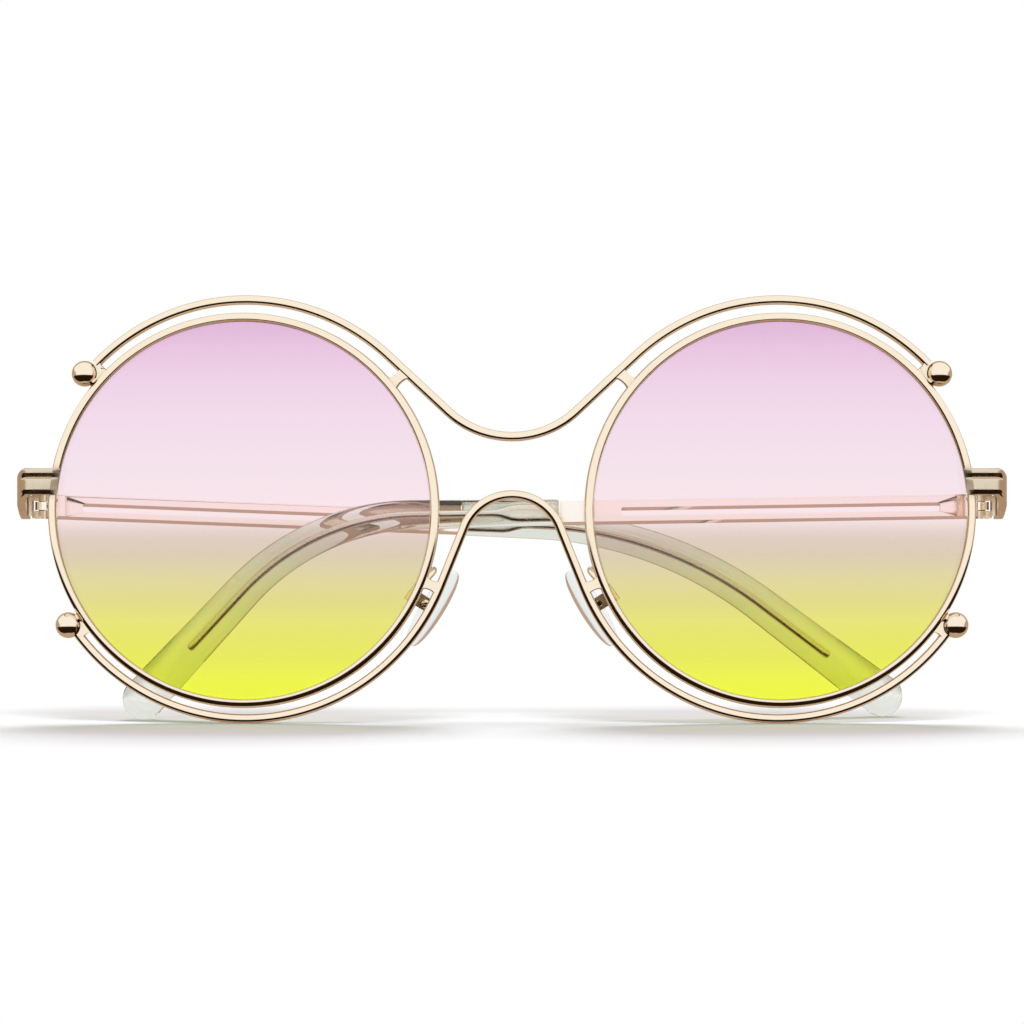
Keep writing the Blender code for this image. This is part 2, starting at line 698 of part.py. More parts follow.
def knuckle_levels():
    """Bottom and top of the three knuckles, counted from the middle of the hinge."""
    half = KNUCKLE_HEIGHT / 2
    pitch = KNUCKLE_HEIGHT + RUNNING_GAP
    return [(level * pitch - half, level * pitch + half) for level in (-1, 0, 1)]


def leaf_mesh(levels, direction, lengthwise, plate_height):
    """A hinge leaf: a plate, its knuckles and the webs that tie them, in the hinge's own frame.

    lengthwise is the axis along the plate: 0 is X, 1 is Y. direction holds two signs: which way the
    plate runs from the pin, and on which side of the pin it lies.
    """
    knuckle = KNUCKLE_DIAMETER / 2
    near = knuckle + RUNNING_GAP
    far = near + LEAF_THICKNESS
    half = plate_height / 2
    span = (BUTT_GAP, BUTT_GAP + LEAF_LENGTH)
    solids = [leaf_box(lengthwise, direction, span, (near, far), (-half, half))]
    for low, high in levels:
        solids.append(rod_mesh(knuckle, (0.0, 0.0, low), (0.0, 0.0, high)))
        web = leaf_box(lengthwise, direction, (0.0, knuckle * WEB_SHARE), (0.0, (near + far) / 2),
                       (low + WEB_INSET, high - WEB_INSET))
        solids.append(web)
    return solids


def leaf_box(lengthwise, direction, along, across, levels):
    """A box of a leaf, from its spans along the plate, across it and up the pin."""
    spans = [None, None, levels]
    spans[lengthwise] = sorted(direction[0] * value for value in along)
    spans[1 - lengthwise] = sorted(direction[1] * value for value in across)
    return box_mesh([span[0] for span in spans], [span[1] for span in spans])


def join_solids(name, solids, finish, parent, hole_radius):
    """One body from overlapping solids, with the screw's bore through it."""
    body = place(name, solids[0], finish, parent)
    for number, mesh in enumerate(solids[1:]):
        tool = new_cutter(name + "_tool_" + str(number), mesh, parent)
        boolean(body, tool, "UNION")
    reach = 2 * KNUCKLE_HEIGHT + CUT_OVERRUN
    bore = rod_mesh(hole_radius, (0.0, 0.0, -reach), (0.0, 0.0, reach))
    boolean(body, new_cutter(name + "_bore", bore, parent), "DIFFERENCE")
    return body


def make_hinge(side, fixed, pivot, finish, screw_finish):
    """The front leaf with two knuckles, the temple leaf with one, and the screw through them."""
    tag = SIDES[side]
    levels = knuckle_levels()
    hole = HINGE_SCREW_DIAMETER / 2 + SCREW_FIT
    front = leaf_mesh([levels[0], levels[2]], (-1, side), 1, LEAF_HEIGHT)
    join_solids("hinge_front_leaf_" + tag, front, finish, fixed, hole)
    back = leaf_mesh([levels[1]], (-side, 1), 0, LEAF_HEIGHT)
    join_solids("hinge_temple_leaf_" + tag, back, finish, pivot, hole)
    start = (0.0, 0.0, levels[2][1] + BRAZE_GAP)
    end = (0.0, 0.0, levels[0][0])
    mesh = screw_mesh(HINGE_SCREW_DIAMETER / 2, HINGE_SCREW_HEAD / 2, HINGE_SCREW_HEAD_HEIGHT, start, end)
    place("hinge_screw_" + tag, mesh, screw_finish, fixed)


def make_bar(side, frame, finish):
    """The flat metal bar with its long slot, standing on edge behind the hinge."""
    half = BAR_HEIGHT / 2
    outline = rounded_box_outline((BUTT_GAP, -half), (BAR_LENGTH, half), BAR_CORNER)
    slot = rounded_box_outline((SLOT_START, -SLOT_HEIGHT / 2), (SLOT_END, SLOT_HEIGHT / 2),
                               SLOT_HEIGHT * SLOT_CORNER_SHARE)
    outlines = [[(-side * x, z) for x, z in line] for line in (outline, slot)]
    offset = Matrix.Translation((0.0, BAR_OFFSET + BAR_THICKNESS / 2, 0.0))
    bar = flat_curve(outlines, BAR_THICKNESS)
    place("temple_bar_" + SIDES[side], bar, finish, frame, offset @ FACE_FRONT)


def straight_after_bend(side):
    """Length of a tip's straight end, so that its round end just touches the ground."""
    bend = BEND_ANGLE[side]
    reach = BAR_LENGTH + TIP_STRAIGHT[side] + BEND_RADIUS[side] * math.sin(bend)
    drop = BEND_RADIUS[side] * (1 - math.cos(bend))
    droop = DROOP_ANGLE[side]
    height = HINGE_Z - reach * math.sin(droop) - drop * math.cos(droop)
    fall = math.cos(bend) * math.sin(droop) + math.sin(bend) * math.cos(droop)
    return (height - TIP_END_HEIGHT / 2) / fall


def tip_length(side):
    """Length of a tip's middle line, from the bar's end to the middle of its round end."""
    return TIP_STRAIGHT[side] + BEND_RADIUS[side] * BEND_ANGLE[side] + straight_after_bend(side)


def tip_point(side, along):
    """Middle line of a tip: place and slope at a length along it, in the temple's frame."""
    straight = TIP_STRAIGHT[side]
    turned = BEND_RADIUS[side] * BEND_ANGLE[side]
    slope = max(0.0, min(BEND_ANGLE[side], (along - straight) / BEND_RADIUS[side]))
    x = BAR_LENGTH + min(along, straight) + BEND_RADIUS[side] * math.sin(slope)
    z = -BEND_RADIUS[side] * (1 - math.cos(slope))
    rest = max(0.0, along - straight - turned)
    x += rest * math.cos(slope)
    z -= rest * math.sin(slope)
    share = max(0.0, along) / tip_length(side)
    y = BAR_OFFSET + BAR_THICKNESS / 2 - TIP_INWARD * share ** 2
    return Vector((x, y, z)), slope


def tip_ring(side, along, half_thickness, half_height):
    """A section of a tip or its core, square to the middle line."""
    at, slope = tip_point(side, along)
    up = Vector((math.sin(slope), 0.0, math.cos(slope)))
    section = oval(half_thickness, half_height, TIP_ROUNDNESS)
    ring = [at + Vector((0.0, n, 0.0)) + up * z for n, z in section]
    return [(-side * p.x, p.y, p.z) for p in ring]


def tip_stations(start, end):
    count = math.ceil((end - start) / TIP_STEP)
    return [start + (end - start) * i / count for i in range(count + 1)]


def tip_rings(side):
    """Sections of the clear tip, growing taller to a round end."""
    length = tip_length(side)
    rings = []
    for along in tip_stations(0.0, length):
        height = TIP_START_HEIGHT + (TIP_END_HEIGHT - TIP_START_HEIGHT) * (along / length) ** TIP_GROWTH_POWER
        rings.append(tip_ring(side, along, TIP_THICKNESS / 2, height / 2))
    for angle in TIP_CAP_ANGLES:
        along = length + math.sin(angle) * TIP_END_HEIGHT / 2
        thin = TIP_THICKNESS / 2 * math.cos(angle) ** TIP_CAP_POWER
        rings.append(tip_ring(side, along, thin, math.cos(angle) * TIP_END_HEIGHT / 2))
    return rings


def core_sizes(along):
    """Half thickness and half height of the core: a flat paddle that narrows to a wire."""
    share = max(0.0, min(1.0, (along - CORE_PADDLE_LENGTH) / CORE_TAPER_LENGTH))
    thick = CORE_THICKNESS + (CORE_WIRE - CORE_THICKNESS) * share
    high = CORE_HEIGHT + (CORE_WIRE - CORE_HEIGHT) * share
    return thick / 2, high / 2


def core_rings(side, start, end, grow):
    stops = [start, CORE_PADDLE_LENGTH]
    stops += tip_stations(CORE_PADDLE_LENGTH + CORE_TAPER_LENGTH, end)
    rings = []
    for along in stops:
        thick, high = core_sizes(along)
        rings.append(tip_ring(side, along, thick + grow, high + grow))
    return rings


def make_tip(side, frame, finish, core_finish):
    tag = SIDES[side]
    end = tip_length(side) - CORE_STOP_SHORT
    core = loft_mesh(core_rings(side, BRAZE_GAP, end, 0.0))
    place("tip_core_" + tag, core, core_finish, frame)
    tip = place("temple_tip_" + tag, loft_mesh(tip_rings(side)), finish, frame)
    shift = Matrix.Translation((-side * BRAZE_GAP, 0.0, 0.0))
    tip.matrix_local = shift
    bore = loft_mesh(core_rings(side, -CUT_OVERRUN, end + CORE_FIT, CORE_FIT))
    boolean(tip, new_cutter("tip_bore_" + tag, bore, frame), "DIFFERENCE")


def pad_frame_matrix(side):
    """The pad's own frame at its screw: X along its length, Y its width, Z out of its face."""
    length = Vector((math.sin(PAD_LEAN), 0.0, -math.cos(PAD_LEAN)))
    inward = Vector((-math.cos(PAD_LEAN), 0.0, -math.sin(PAD_LEAN)))
    face = inward * math.cos(PAD_SPLAY) + Vector((0.0, 1.0, 0.0)) * math.sin(PAD_SPLAY)
    centre = Vector((PAD_X, PAD_DEPTH, LENS_Z - PAD_DROP))
    screw = centre - face * PAD_STAND
    mirror = Vector((side, 1.0, 1.0))
    length = length * mirror
    face = face * mirror
    screw = screw * mirror
    width = face.cross(length)
    turned = Matrix((length, width, face)).transposed().to_4x4()
    return Matrix.Translation(screw) @ turned


def pad_rings():
    """Sections of a pad along its length: a flat oval that is thickest in the middle."""
    rings = []
    span = PAD_SECTIONS - 1 + 2 * PAD_END_SHARE
    for i in range(PAD_SECTIONS):
        angle = math.pi * (i + PAD_END_SHARE) / span
        across = math.sin(angle)
        at = -math.cos(angle) * PAD_LENGTH / 2
        width = PAD_WIDTH / 2 * across ** PAD_WIDTH_POWER
        thick = PAD_THICKNESS / 2 * across ** PAD_THICKNESS_POWER
        rings.append([(at, y, PAD_STAND + z) for y, z in oval(width, thick, PAD_ROUNDNESS)])
    return rings


def make_pad(side, finish, metal, screw_finish):
    """A clear pad with a lug, held by a screw between the cheeks of a small box."""
    tag = SIDES[side]
    frame = pad_frame_matrix(side)
    pivot = new_empty("pad_pivot_" + tag, (0.0, 0.0, 0.0))
    pivot.matrix_basis = frame
    pad = place("nose_pad_" + tag, loft_mesh(pad_rings()), finish, pivot)
    half = LUG_LENGTH / 2
    lug = box_mesh((-half, -LUG_WIDTH / 2, -LUG_BACK), (half, LUG_WIDTH / 2, PAD_STAND))
    boolean(pad, new_cutter("pad_lug_" + tag, lug, pivot), "UNION")
    inner = LUG_WIDTH / 2 + RUNNING_GAP
    outer = inner + BOX_WALL
    hole = new_cutter("pad_hole_" + tag, rod_mesh(PAD_SCREW_DIAMETER / 2 + SCREW_FIT, (0.0, -2 * outer, 0.0),
                                                  (0.0, 2 * outer, 0.0), HOLE_SEGMENTS), pivot)
    boolean(pad, hole, "DIFFERENCE")
    floor = math.hypot(half, LUG_BACK) + RUNNING_GAP
    box = place("pad_box_" + tag, box_mesh((-half, -outer, -floor - BOX_WALL), (half, outer, BOX_CHEEK)),
                metal, pivot)
    room = box_mesh((-half - CUT_OVERRUN, -inner, -floor),
                    (half + CUT_OVERRUN, inner, BOX_CHEEK + CUT_OVERRUN))
    boolean(box, new_cutter("pad_box_room_" + tag, room, pivot), "DIFFERENCE")
    boolean(box, hole, "DIFFERENCE")
    screw = screw_mesh(PAD_SCREW_DIAMETER / 2, PAD_SCREW_HEAD / 2, PAD_SCREW_HEAD_HEIGHT,
                       (0.0, -outer - BRAZE_GAP, 0.0), (0.0, outer, 0.0))
    place("pad_screw_" + tag, screw, screw_finish, pivot)
    return frame, floor + BOX_WALL


def bezier(a, b, c, d, count):
    """Points of a cubic curve from a to d, with b and c as its handles."""
    points = []
    for i in range(count + 1):
        t = i / count
        s = 1 - t
        points.append(a * s ** 3 + b * (3 * s * s * t) + c * (3 * s * t * t) + d * t ** 3)
    return points


def make_pad_arm(side, frame, pad, box_back, finish):
    """The bent wire from the back of the rim, up and over to the back of the pad's box."""
    radius = ARM_DIAMETER / 2
    spoke = frame.matrix_basis @ radial(side, ARM_ANGLE, False)
    start = spoke @ Vector((RIM_INNER_RADIUS + RIM_WIDTH / 2, RIM_DEPTH / 2 + BRAZE_GAP, 0.0))
    foot = spoke @ Vector((RIM_INNER_RADIUS + RIM_WIDTH / 2, RIM_DEPTH / 2 + ARM_FOOT, 0.0))
    end = pad @ Vector((LUG_LENGTH / 2, 0.0, -box_back - radius - BRAZE_GAP))
    along = pad.to_3x3() @ Vector((1.0, 0.0, 0.0))
    leave = foot + Vector((-side * ARM_INWARD, ARM_SWEEP, ARM_RISE))
    points = [start] + bezier(foot, leave, end - along * ARM_RETURN, end, ARM_STEPS)
    place("pad_arm_" + SIDES[side], poly_curve(points, radius), finish)


def furthest_front():
    """How far forward the lenses bulge: each is tilted, so its foremost point is towards the nose."""
    tilted = [z * math.cos(FACE_WRAP) + r * math.sin(FACE_WRAP) for r, z in lens_section()]
    return front_depth(LENS_X) - max(tilted)


def deepest_back():
    """The furthest point behind the front: the outer face of a folded temple."""
    deepest = 0.0
    for side in SIDES:
        for along in [0.0] + tip_stations(0.0, tip_length(side)):
            at, slope = tip_point(side, along)
            back = at.x * math.sin(FOLD_ANGLE[side]) * math.cos(DROOP_ANGLE[side])
            outer = (at.y + TIP_THICKNESS / 2) * math.cos(FOLD_ANGLE[side])
            deepest = max(deepest, HINGE_DEPTH + back + outer)
    return deepest


def main():
    clear_scene()
    new_collection(PARTS)
    new_collection(CUTTERS)
    finishes = {name: new_material(name) for name in FINISHES}
    metal = finishes["polished_champagne_metal"]
    bright = finishes["bright_screw_metal"]
    brow = whole_wire(brow_half())
    lower = whole_wire(lower_half())
    make_wire("brow_wire", brow, metal)
    make_wire("lower_wire", lower, metal)
    for side, tag in SIDES.items():
        frame = lens_frame(side)
        make_rim(side, frame, metal)
        make_lens(side, frame, finishes["graded_lens"])
        make_balls_and_posts(side, frame, brow, lower, metal)
        make_end_piece(side, metal)
        make_closing_blocks(side, frame, metal, bright)
        hinge_at = (side * HINGE_X, HINGE_DEPTH, HINGE_Z)
        fixed = new_empty("hinge_" + tag, hinge_at)
        pivot = new_empty("temple_pivot_" + tag, hinge_at, (0.0, 0.0, -side * FOLD_ANGLE[side]))
        make_hinge(side, fixed, pivot, metal, bright)
        droop = (0.0, -side * DROOP_ANGLE[side], 0.0)
        temple = new_empty("temple_frame_" + tag, (0.0, 0.0, 0.0), droop, pivot)
        make_bar(side, temple, metal)
        make_tip(side, temple, finishes["clear_tip"], finishes["core_metal"])
        pad, box_back = make_pad(side, finishes["clear_pad"], metal, bright)
        make_pad_arm(side, frame, pad, box_back, metal)
    centre_on_base()


def centre_on_base():
    """Put the whole part under one empty, with its base's middle at the origin."""
    front = min(-WIRE_RADIUS, furthest_front())
    base = new_empty("base", (0.0, -(front + deepest_back()) / 2, 0.0))
    for item in list(bpy.data.objects):
        if item.parent is None and item is not base:
            item.parent = base


main()
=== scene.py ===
# %% [markdown]
# # Round sunglasses, dressed for a studio picture
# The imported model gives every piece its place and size. This script keeps that frame, swaps the
# plain solids for finer shapes of the same size, and gives each finish its own node material.
# All lengths are in metres. The front faces -Y and the folded temples lie behind it.

# %% Load the frame
import json
from math import acos, asin, ceil, copysign, cos, hypot, pi, radians, sin, sqrt, tan, tau

import bmesh
import bpy
from mathutils import Matrix, Vector


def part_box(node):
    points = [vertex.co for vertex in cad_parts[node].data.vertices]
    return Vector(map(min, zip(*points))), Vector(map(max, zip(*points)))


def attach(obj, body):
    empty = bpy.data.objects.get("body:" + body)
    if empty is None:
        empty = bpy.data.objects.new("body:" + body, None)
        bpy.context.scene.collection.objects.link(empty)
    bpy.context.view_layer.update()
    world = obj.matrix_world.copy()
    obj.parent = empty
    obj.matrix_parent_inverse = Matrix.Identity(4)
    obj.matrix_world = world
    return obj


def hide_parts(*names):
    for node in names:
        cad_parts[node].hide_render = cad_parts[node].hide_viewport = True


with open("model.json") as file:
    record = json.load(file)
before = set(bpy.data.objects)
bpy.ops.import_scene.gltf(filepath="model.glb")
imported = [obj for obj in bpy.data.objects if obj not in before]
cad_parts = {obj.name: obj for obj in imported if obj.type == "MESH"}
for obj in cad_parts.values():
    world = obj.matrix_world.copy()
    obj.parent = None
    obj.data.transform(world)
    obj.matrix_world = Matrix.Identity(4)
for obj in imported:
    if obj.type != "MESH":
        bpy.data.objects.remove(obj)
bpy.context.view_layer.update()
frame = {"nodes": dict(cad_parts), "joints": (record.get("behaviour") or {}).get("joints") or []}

nodes = frame["nodes"]
MM = 0.001

# %% [markdown]
# ## Places on the frame
# The two sides are mirror images, except for the fold and bend of the temples. A side is -1 for the
# viewer's left and +1 for the right. The middle of a rim's box is the lens's centre, and half the
# rim's height is its outer radius, so both come from the frame rather than from typed values. The
# front is wrapped a little, as on a face, so each rim has its own turned axes.

# %% Sides and lens axes
SIDES = {-1: "left", 1: "right"}
FACE_WRAP = radians(5.7)
UPRIGHT = Matrix.Rotation(pi / 2, 4, "X")


def box_corners(node):
    return [Vector(point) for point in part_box(node)]


rim_low, rim_high = box_corners("rim_right")
RIM_OUTER = (rim_high - rim_low).z / 2
RIM_WIDTH = 1.24 * MM
RIM_DEPTH = 1.80 * MM
RIM_INNER = RIM_OUTER - RIM_WIDTH
LENS_CENTRE = {side: sum(box_corners("rim_" + tag), Vector()) / 2 for side, tag in SIDES.items()}
LENS_X = LENS_CENTRE[1].x
LENS_Z = LENS_CENTRE[1].z
BRIDGE_WIDTH = 2 * (LENS_X - RIM_OUTER)
lens_axes = {side: Matrix.Translation(LENS_CENTRE[side]) @ Matrix.Rotation(side * FACE_WRAP, 4, "Z")
             for side in SIDES}
FRONT_Y = LENS_CENTRE[1].y - tan(FACE_WRAP) * (LENS_X - BRIDGE_WIDTH / 4)


def front_depth(x):
    """Y of the front's middle surface at x: curved over the bridge and straight past it."""
    half = BRIDGE_WIDTH / 2
    if abs(x) < half:
        return FRONT_Y + tan(FACE_WRAP) * x * x / BRIDGE_WIDTH
    return FRONT_Y + tan(FACE_WRAP) * (abs(x) - half / 2)


def spoke(side, angle, outward):
    """Axes whose X runs from the lens centre at an angle above level, to the temple or the nose."""
    turn = angle if outward == (side > 0) else pi - angle
    return lens_axes[side] @ Matrix.Rotation(-turn, 4, "Y")


print("lens centre", [round(v / MM, 1) for v in LENS_CENTRE[1]], "rim radius", round(RIM_OUTER / MM, 1))

# %% [markdown]
# ## Mesh helpers
# Wires, tips, arms and end pieces are all a small section carried along a line. One loft builds
# them: it joins ring after ring of points and closes both ends. Wires, tips and pads have a
# superellipse as their section, which runs from a circle to a rounded box by one number.

# %% Lofts and sections
SMOOTH_ANGLE = radians(38.0)
EDGE_ANGLE = radians(50.0)
WELD = MM / 1000


def evenly(first, last, count):
    return [first + (last - first) * i / count for i in range(count + 1)]


def spaced(start, end, step):
    return evenly(start, end, ceil((end - start) / step))


def between(low, high, share):
    return low + (high - low) * share


def to_mesh(shape):
    bmesh.ops.recalc_face_normals(shape, faces=shape.faces)
    mesh = bpy.data.meshes.new("shape")
    shape.to_mesh(mesh)
    shape.free()
    mesh.shade_smooth()
    mesh.set_sharp_from_angle(angle=SMOOTH_ANGLE)
    return mesh


def loft(rings):
    """A closed skin over rings of equally many points."""
    shape = bmesh.new()
    loops = [[shape.verts.new(point) for point in ring] for ring in rings]
    for near, far in zip(loops, loops[1:]):
        for i, vert in enumerate(near):
            after = (i + 1) % len(near)
            shape.faces.new((vert, near[after], far[after], far[i]))
    shape.faces.new(loops[0])
    shape.faces.new(loops[-1])
    return to_mesh(shape)


def turned(profile, steps, axes):
    """A body of revolution about local X, from (x, radius) pairs that start and end on the axis."""
    turns = [tau * i / steps for i in range(steps)]
    return loft([[axes @ Vector((x, radius * cos(a), radius * sin(a))) for a in turns]
                 for x, radius in profile])


def oval(half_width, half_height, roundness=2.0, count=24):
    """A superellipse, from an ellipse to a rounded box as the roundness grows."""
    def swell(value):
        return copysign(abs(value) ** (2 / roundness), value)

    angles = [tau * (i + 0.5) / count for i in range(count)]
    return [(half_width * swell(cos(a)), half_height * swell(sin(a))) for a in angles]


def smooth_line(points, count):
    """Catmull-Rom points through a list of vectors."""
    padded = [points[0], *points, points[-1]]
    line = []
    for a, b, c, d in zip(padded, padded[1:], padded[2:], padded[3:]):
        for t in evenly(0, 1, count)[:-1]:
            line.append(0.5 * (2 * b + (c - a) * t + (2 * a - 5 * b + 4 * c - d) * t ** 2
                               + (3 * b - a - 3 * c + d) * t ** 3))
    return line + [points[-1]]


def plate_mesh(outlines, thickness, axes):
    """A flat plate with holes, filled by a curve from closed outlines."""
    curve = bpy.data.curves.new("plate", "CURVE")
    curve.dimensions = "2D"
    curve.fill_mode = "BOTH"
    curve.extrude = thickness / 2
    for outline in outlines:
        spline = curve.splines.new("POLY")
        spline.points.add(len(outline) - 1)
        for knot, point in zip(spline.points, outline):
            knot.co = (*point, 0.0, 1.0)
        spline.use_cyclic_u = True
    holder = bpy.data.objects.new("plate", curve)
    shape = bmesh.new()
    shape.from_mesh(bpy.data.meshes.new_from_object(holder))
    bpy.data.objects.remove(holder)
    bmesh.ops.remove_doubles(shape, verts=shape.verts, dist=WELD)
    bmesh.ops.transform(shape, matrix=axes, verts=shape.verts)
    return to_mesh(shape)


def break_edges(item, width, segments=3):
    """Rounds off sharp edges, so that each catches a line of light."""
    edges = item.modifiers.new("broken_edges", "BEVEL")
    edges.width = width
    edges.segments = segments
    edges.limit_method = "ANGLE"
    edges.angle_limit = EDGE_ANGLE
    edges.harden_normals = True


def new_object(name, data):
    item = bpy.data.objects.new(name, data)
    bpy.context.scene.collection.objects.link(item)
    return item


print("an oval ring has", len(oval(MM, MM)), "points")

# %% [markdown]
# ## Shared surface effects
# Real plating is never one even value. Three node groups give the finishes their life: fine wiping
# scratches, faint finger smudges, and painted shade, a darker tone in corners that see little sky.
# They put out only masks and heights, and each material sets them to its own scale.

# %% Node helpers
def set_inputs(tree, node, inputs):
    """Sets inputs, by name or number, to a value, a colour or another node's output."""
    for key, value in inputs.items():
        if isinstance(value, bpy.types.NodeSocket):
            tree.links.new(value, node.inputs[key])
        else:
            node.inputs[key].default_value = (*value, 1.0) if isinstance(value, tuple) else value


def add_node(tree, kind, inputs):
    node = tree.nodes.new(kind)
    set_inputs(tree, node, inputs)
    return node


def maths(tree, operation, first, second):
    node = add_node(tree, "ShaderNodeMath", {0: first, 1: second})
    node.operation = operation
    return node.outputs[0]


def map_range(tree, value, source=(0.0, 1.0), target=(0.0, 1.0), kind="LINEAR"):
    """Maps a source range on to a target range, such as a mask on to roughness."""
    node = add_node(tree, "ShaderNodeMapRange", {"Value": value, "From Min": source[0], "From Max": source[1],
                                                 "To Min": target[0], "To Max": target[1]})
    node.interpolation_type = kind
    return node.outputs[0]


def soft_mask(tree, value, edges):
    return map_range(tree, value, edges, kind="SMOOTHSTEP")


def mix_colours(tree, amount, first, second):
    """One colour towards another by a mask or a share."""
    node = tree.nodes.new("ShaderNodeMix")
    node.data_type = "RGBA"
    set_inputs(tree, node, {0: amount, 6: first, 7: second})
    return node.outputs[2]


def mix_shaders(tree, amount, first, second):
    return add_node(tree, "ShaderNodeMixShader", {0: amount, 1: first.outputs[0], 2: second.outputs[0]})


def bump(tree, height, strength, distance):
    inputs = {"Strength": strength, "Distance": distance, "Height": height}
    return add_node(tree, "ShaderNodeBump", inputs).outputs[0]


def own_axes(tree):
    return tree.nodes.new("ShaderNodeTexCoord").outputs["Object"]


print("node helpers are ready")

# %% Node groups
SCRATCH_DETAIL = 3.0
SMUDGE_DETAIL = 5.0
SMUDGE_ROUGHNESS = 0.6
SMUDGE_EDGES = (0.42, 0.72)
SHELTER_SAMPLES = 6


def new_group(name, inputs, output):
    """A node group of plain values, with a first value for each input."""
    group = bpy.data.node_groups.new(name, "ShaderNodeTree")
    for label, value in inputs.items():
        socket = group.interface.new_socket(label, in_out="INPUT", socket_type="NodeSocketFloat")
        socket.default_value = value
    group.interface.new_socket(output, in_out="OUTPUT", socket_type="NodeSocketFloat")
    return group, group.nodes.new("NodeGroupInput").outputs, group.nodes.new("NodeGroupOutput")


def scratch_group():
    """Long fine noise: hairline scratches as a height from 0 to 1."""
    group, start, end = new_group("fine_scratches", {"Scale": 900.0, "Stretch": 0.08}, "Height")
    squeeze = add_node(group, "ShaderNodeCombineXYZ", {"X": start["Stretch"], "Y": 1.0, "Z": 1.0})
    mapping = add_node(group, "ShaderNodeMapping", {"Vector": own_axes(group), "Scale": squeeze.outputs[0]})
    noise = add_node(group, "ShaderNodeTexNoise", {"Vector": mapping.outputs[0], "Scale": start["Scale"],
                                                   "Detail": SCRATCH_DETAIL})
    set_inputs(group, end, {"Height": noise.outputs["Fac"]})
    return group


def smudge_group():
    """Soft patches of finger grease and dust as a mask from 0 to 1."""
    group, start, end = new_group("finger_smudges", {"Scale": 120.0, "Amount": 0.5}, "Mask")
    noise = add_node(group, "ShaderNodeTexNoise", {"Vector": own_axes(group), "Scale": start["Scale"],
                                                   "Detail": SMUDGE_DETAIL, "Roughness": SMUDGE_ROUGHNESS})
    patches = soft_mask(group, noise.outputs["Fac"], SMUDGE_EDGES)
    set_inputs(group, end, {"Mask": maths(group, "MULTIPLY", patches, start["Amount"])})
    return group


def corner_shade_group():
    """Painted shade: a mask of hidden corners, from how much of the sky a point sees."""
    group, start, end = new_group("painted_corner_shade", {"Distance": MM}, "Mask")
    shade = add_node(group, "ShaderNodeAmbientOcclusion", {"Distance": start["Distance"]})
    shade.samples = SHELTER_SAMPLES
    set_inputs(group, end, {"Mask": maths(group, "SUBTRACT", 1.0, shade.outputs["AO"])})
    return group


def use_group(tree, group, **values):
    node = tree.nodes.new("ShaderNodeGroup")
    node.node_tree = group
    set_inputs(tree, node, values)
    return node.outputs[0]


scratches = scratch_group()
smudges = smudge_group()
shade_in_corners = corner_shade_group()
print("groups:", scratches.name, smudges.name, shade_in_corners.name)

# %% [markdown]
# ## Metals
# The frame is a copper alloy under a pale champagne-gold plating, polished so that it mirrors the
# studio: a bright front, a thin dark line and a warm underside. Wiping leaves hairlines in the
# roughness, grease dulls a few patches, and painted shade darkens the colour in corners that see
# little sky. Screws and tip cores are the same recipe in other colours.

# %% Metal finishes
HAIR_STRETCH = 0.06
HAIR_STRENGTH = 0.05
HAIR_HEIGHT = 0.02 * MM
METAL_GREASE = {"Scale": 170.0, "Amount": 0.5}
CORNER_REACH = 0.9 * MM


def new_material(name):
    finish = bpy.data.materials.new(name)
    finish.use_nodes = True
    return finish, finish.node_tree, finish.node_tree.nodes["Principled BSDF"]


def metal_finish(name, bright, shaded, roughness, grain):
    """A polished metal: mirror colour, painted corner shade, roughness range and scratch scale."""
    finish, tree, shader = new_material(name)
    hair = use_group(tree, scratches, Scale=grain, Stretch=HAIR_STRETCH)
    grease = use_group(tree, smudges, **METAL_GREASE)
    # Painted shade: the colour turns towards the shaded tone where nearby surfaces hide the sky
    corners = use_group(tree, shade_in_corners, Distance=CORNER_REACH)
    wiped = map_range(tree, hair, target=roughness)
    rough = maths(tree, "ADD", wiped, maths(tree, "MULTIPLY", grease, roughness[1]))
    colour = mix_colours(tree, corners, bright, shaded)
    lines = bump(tree, hair, HAIR_STRENGTH, HAIR_HEIGHT)
    set_inputs(tree, shader, {"Metallic": 1.0, "Base Color": colour, "Roughness": rough, "Normal": lines})
    return finish


# Painted shade: the darker tone that the metals are painted in corners that see little sky
SHADED = (0.62, 0.44, 0.27)
champagne_gold = metal_finish("champagne_gold", (0.955, 0.835, 0.665), SHADED, (0.05, 0.10), 900.0)
brushed_gold = metal_finish("brushed_gold", (0.77, 0.66, 0.51), SHADED, (0.14, 0.26), 1500.0)
screw_gold = metal_finish("screw_gold", (0.90, 0.80, 0.62), (0.42, 0.30, 0.18), (0.10, 0.20), 2200.0)
# Painted light: the bars and temple hinge leaves are the same plating, painted lighter to stand in for
# stronger light
bar_gold_lit = metal_finish("bar_gold_lit", (0.99, 0.91, 0.85), SHADED, (0.05, 0.10), 900.0)
box_gold = metal_finish("box_gold", (0.90, 0.68, 0.38), (0.45, 0.30, 0.15), (0.30, 0.42), 1500.0)
core_silver = metal_finish("core_silver", (0.93, 0.86, 0.76), (0.55, 0.47, 0.37), (0.16, 0.28), 1400.0)
print("metals:", champagne_gold.name, "and five more")
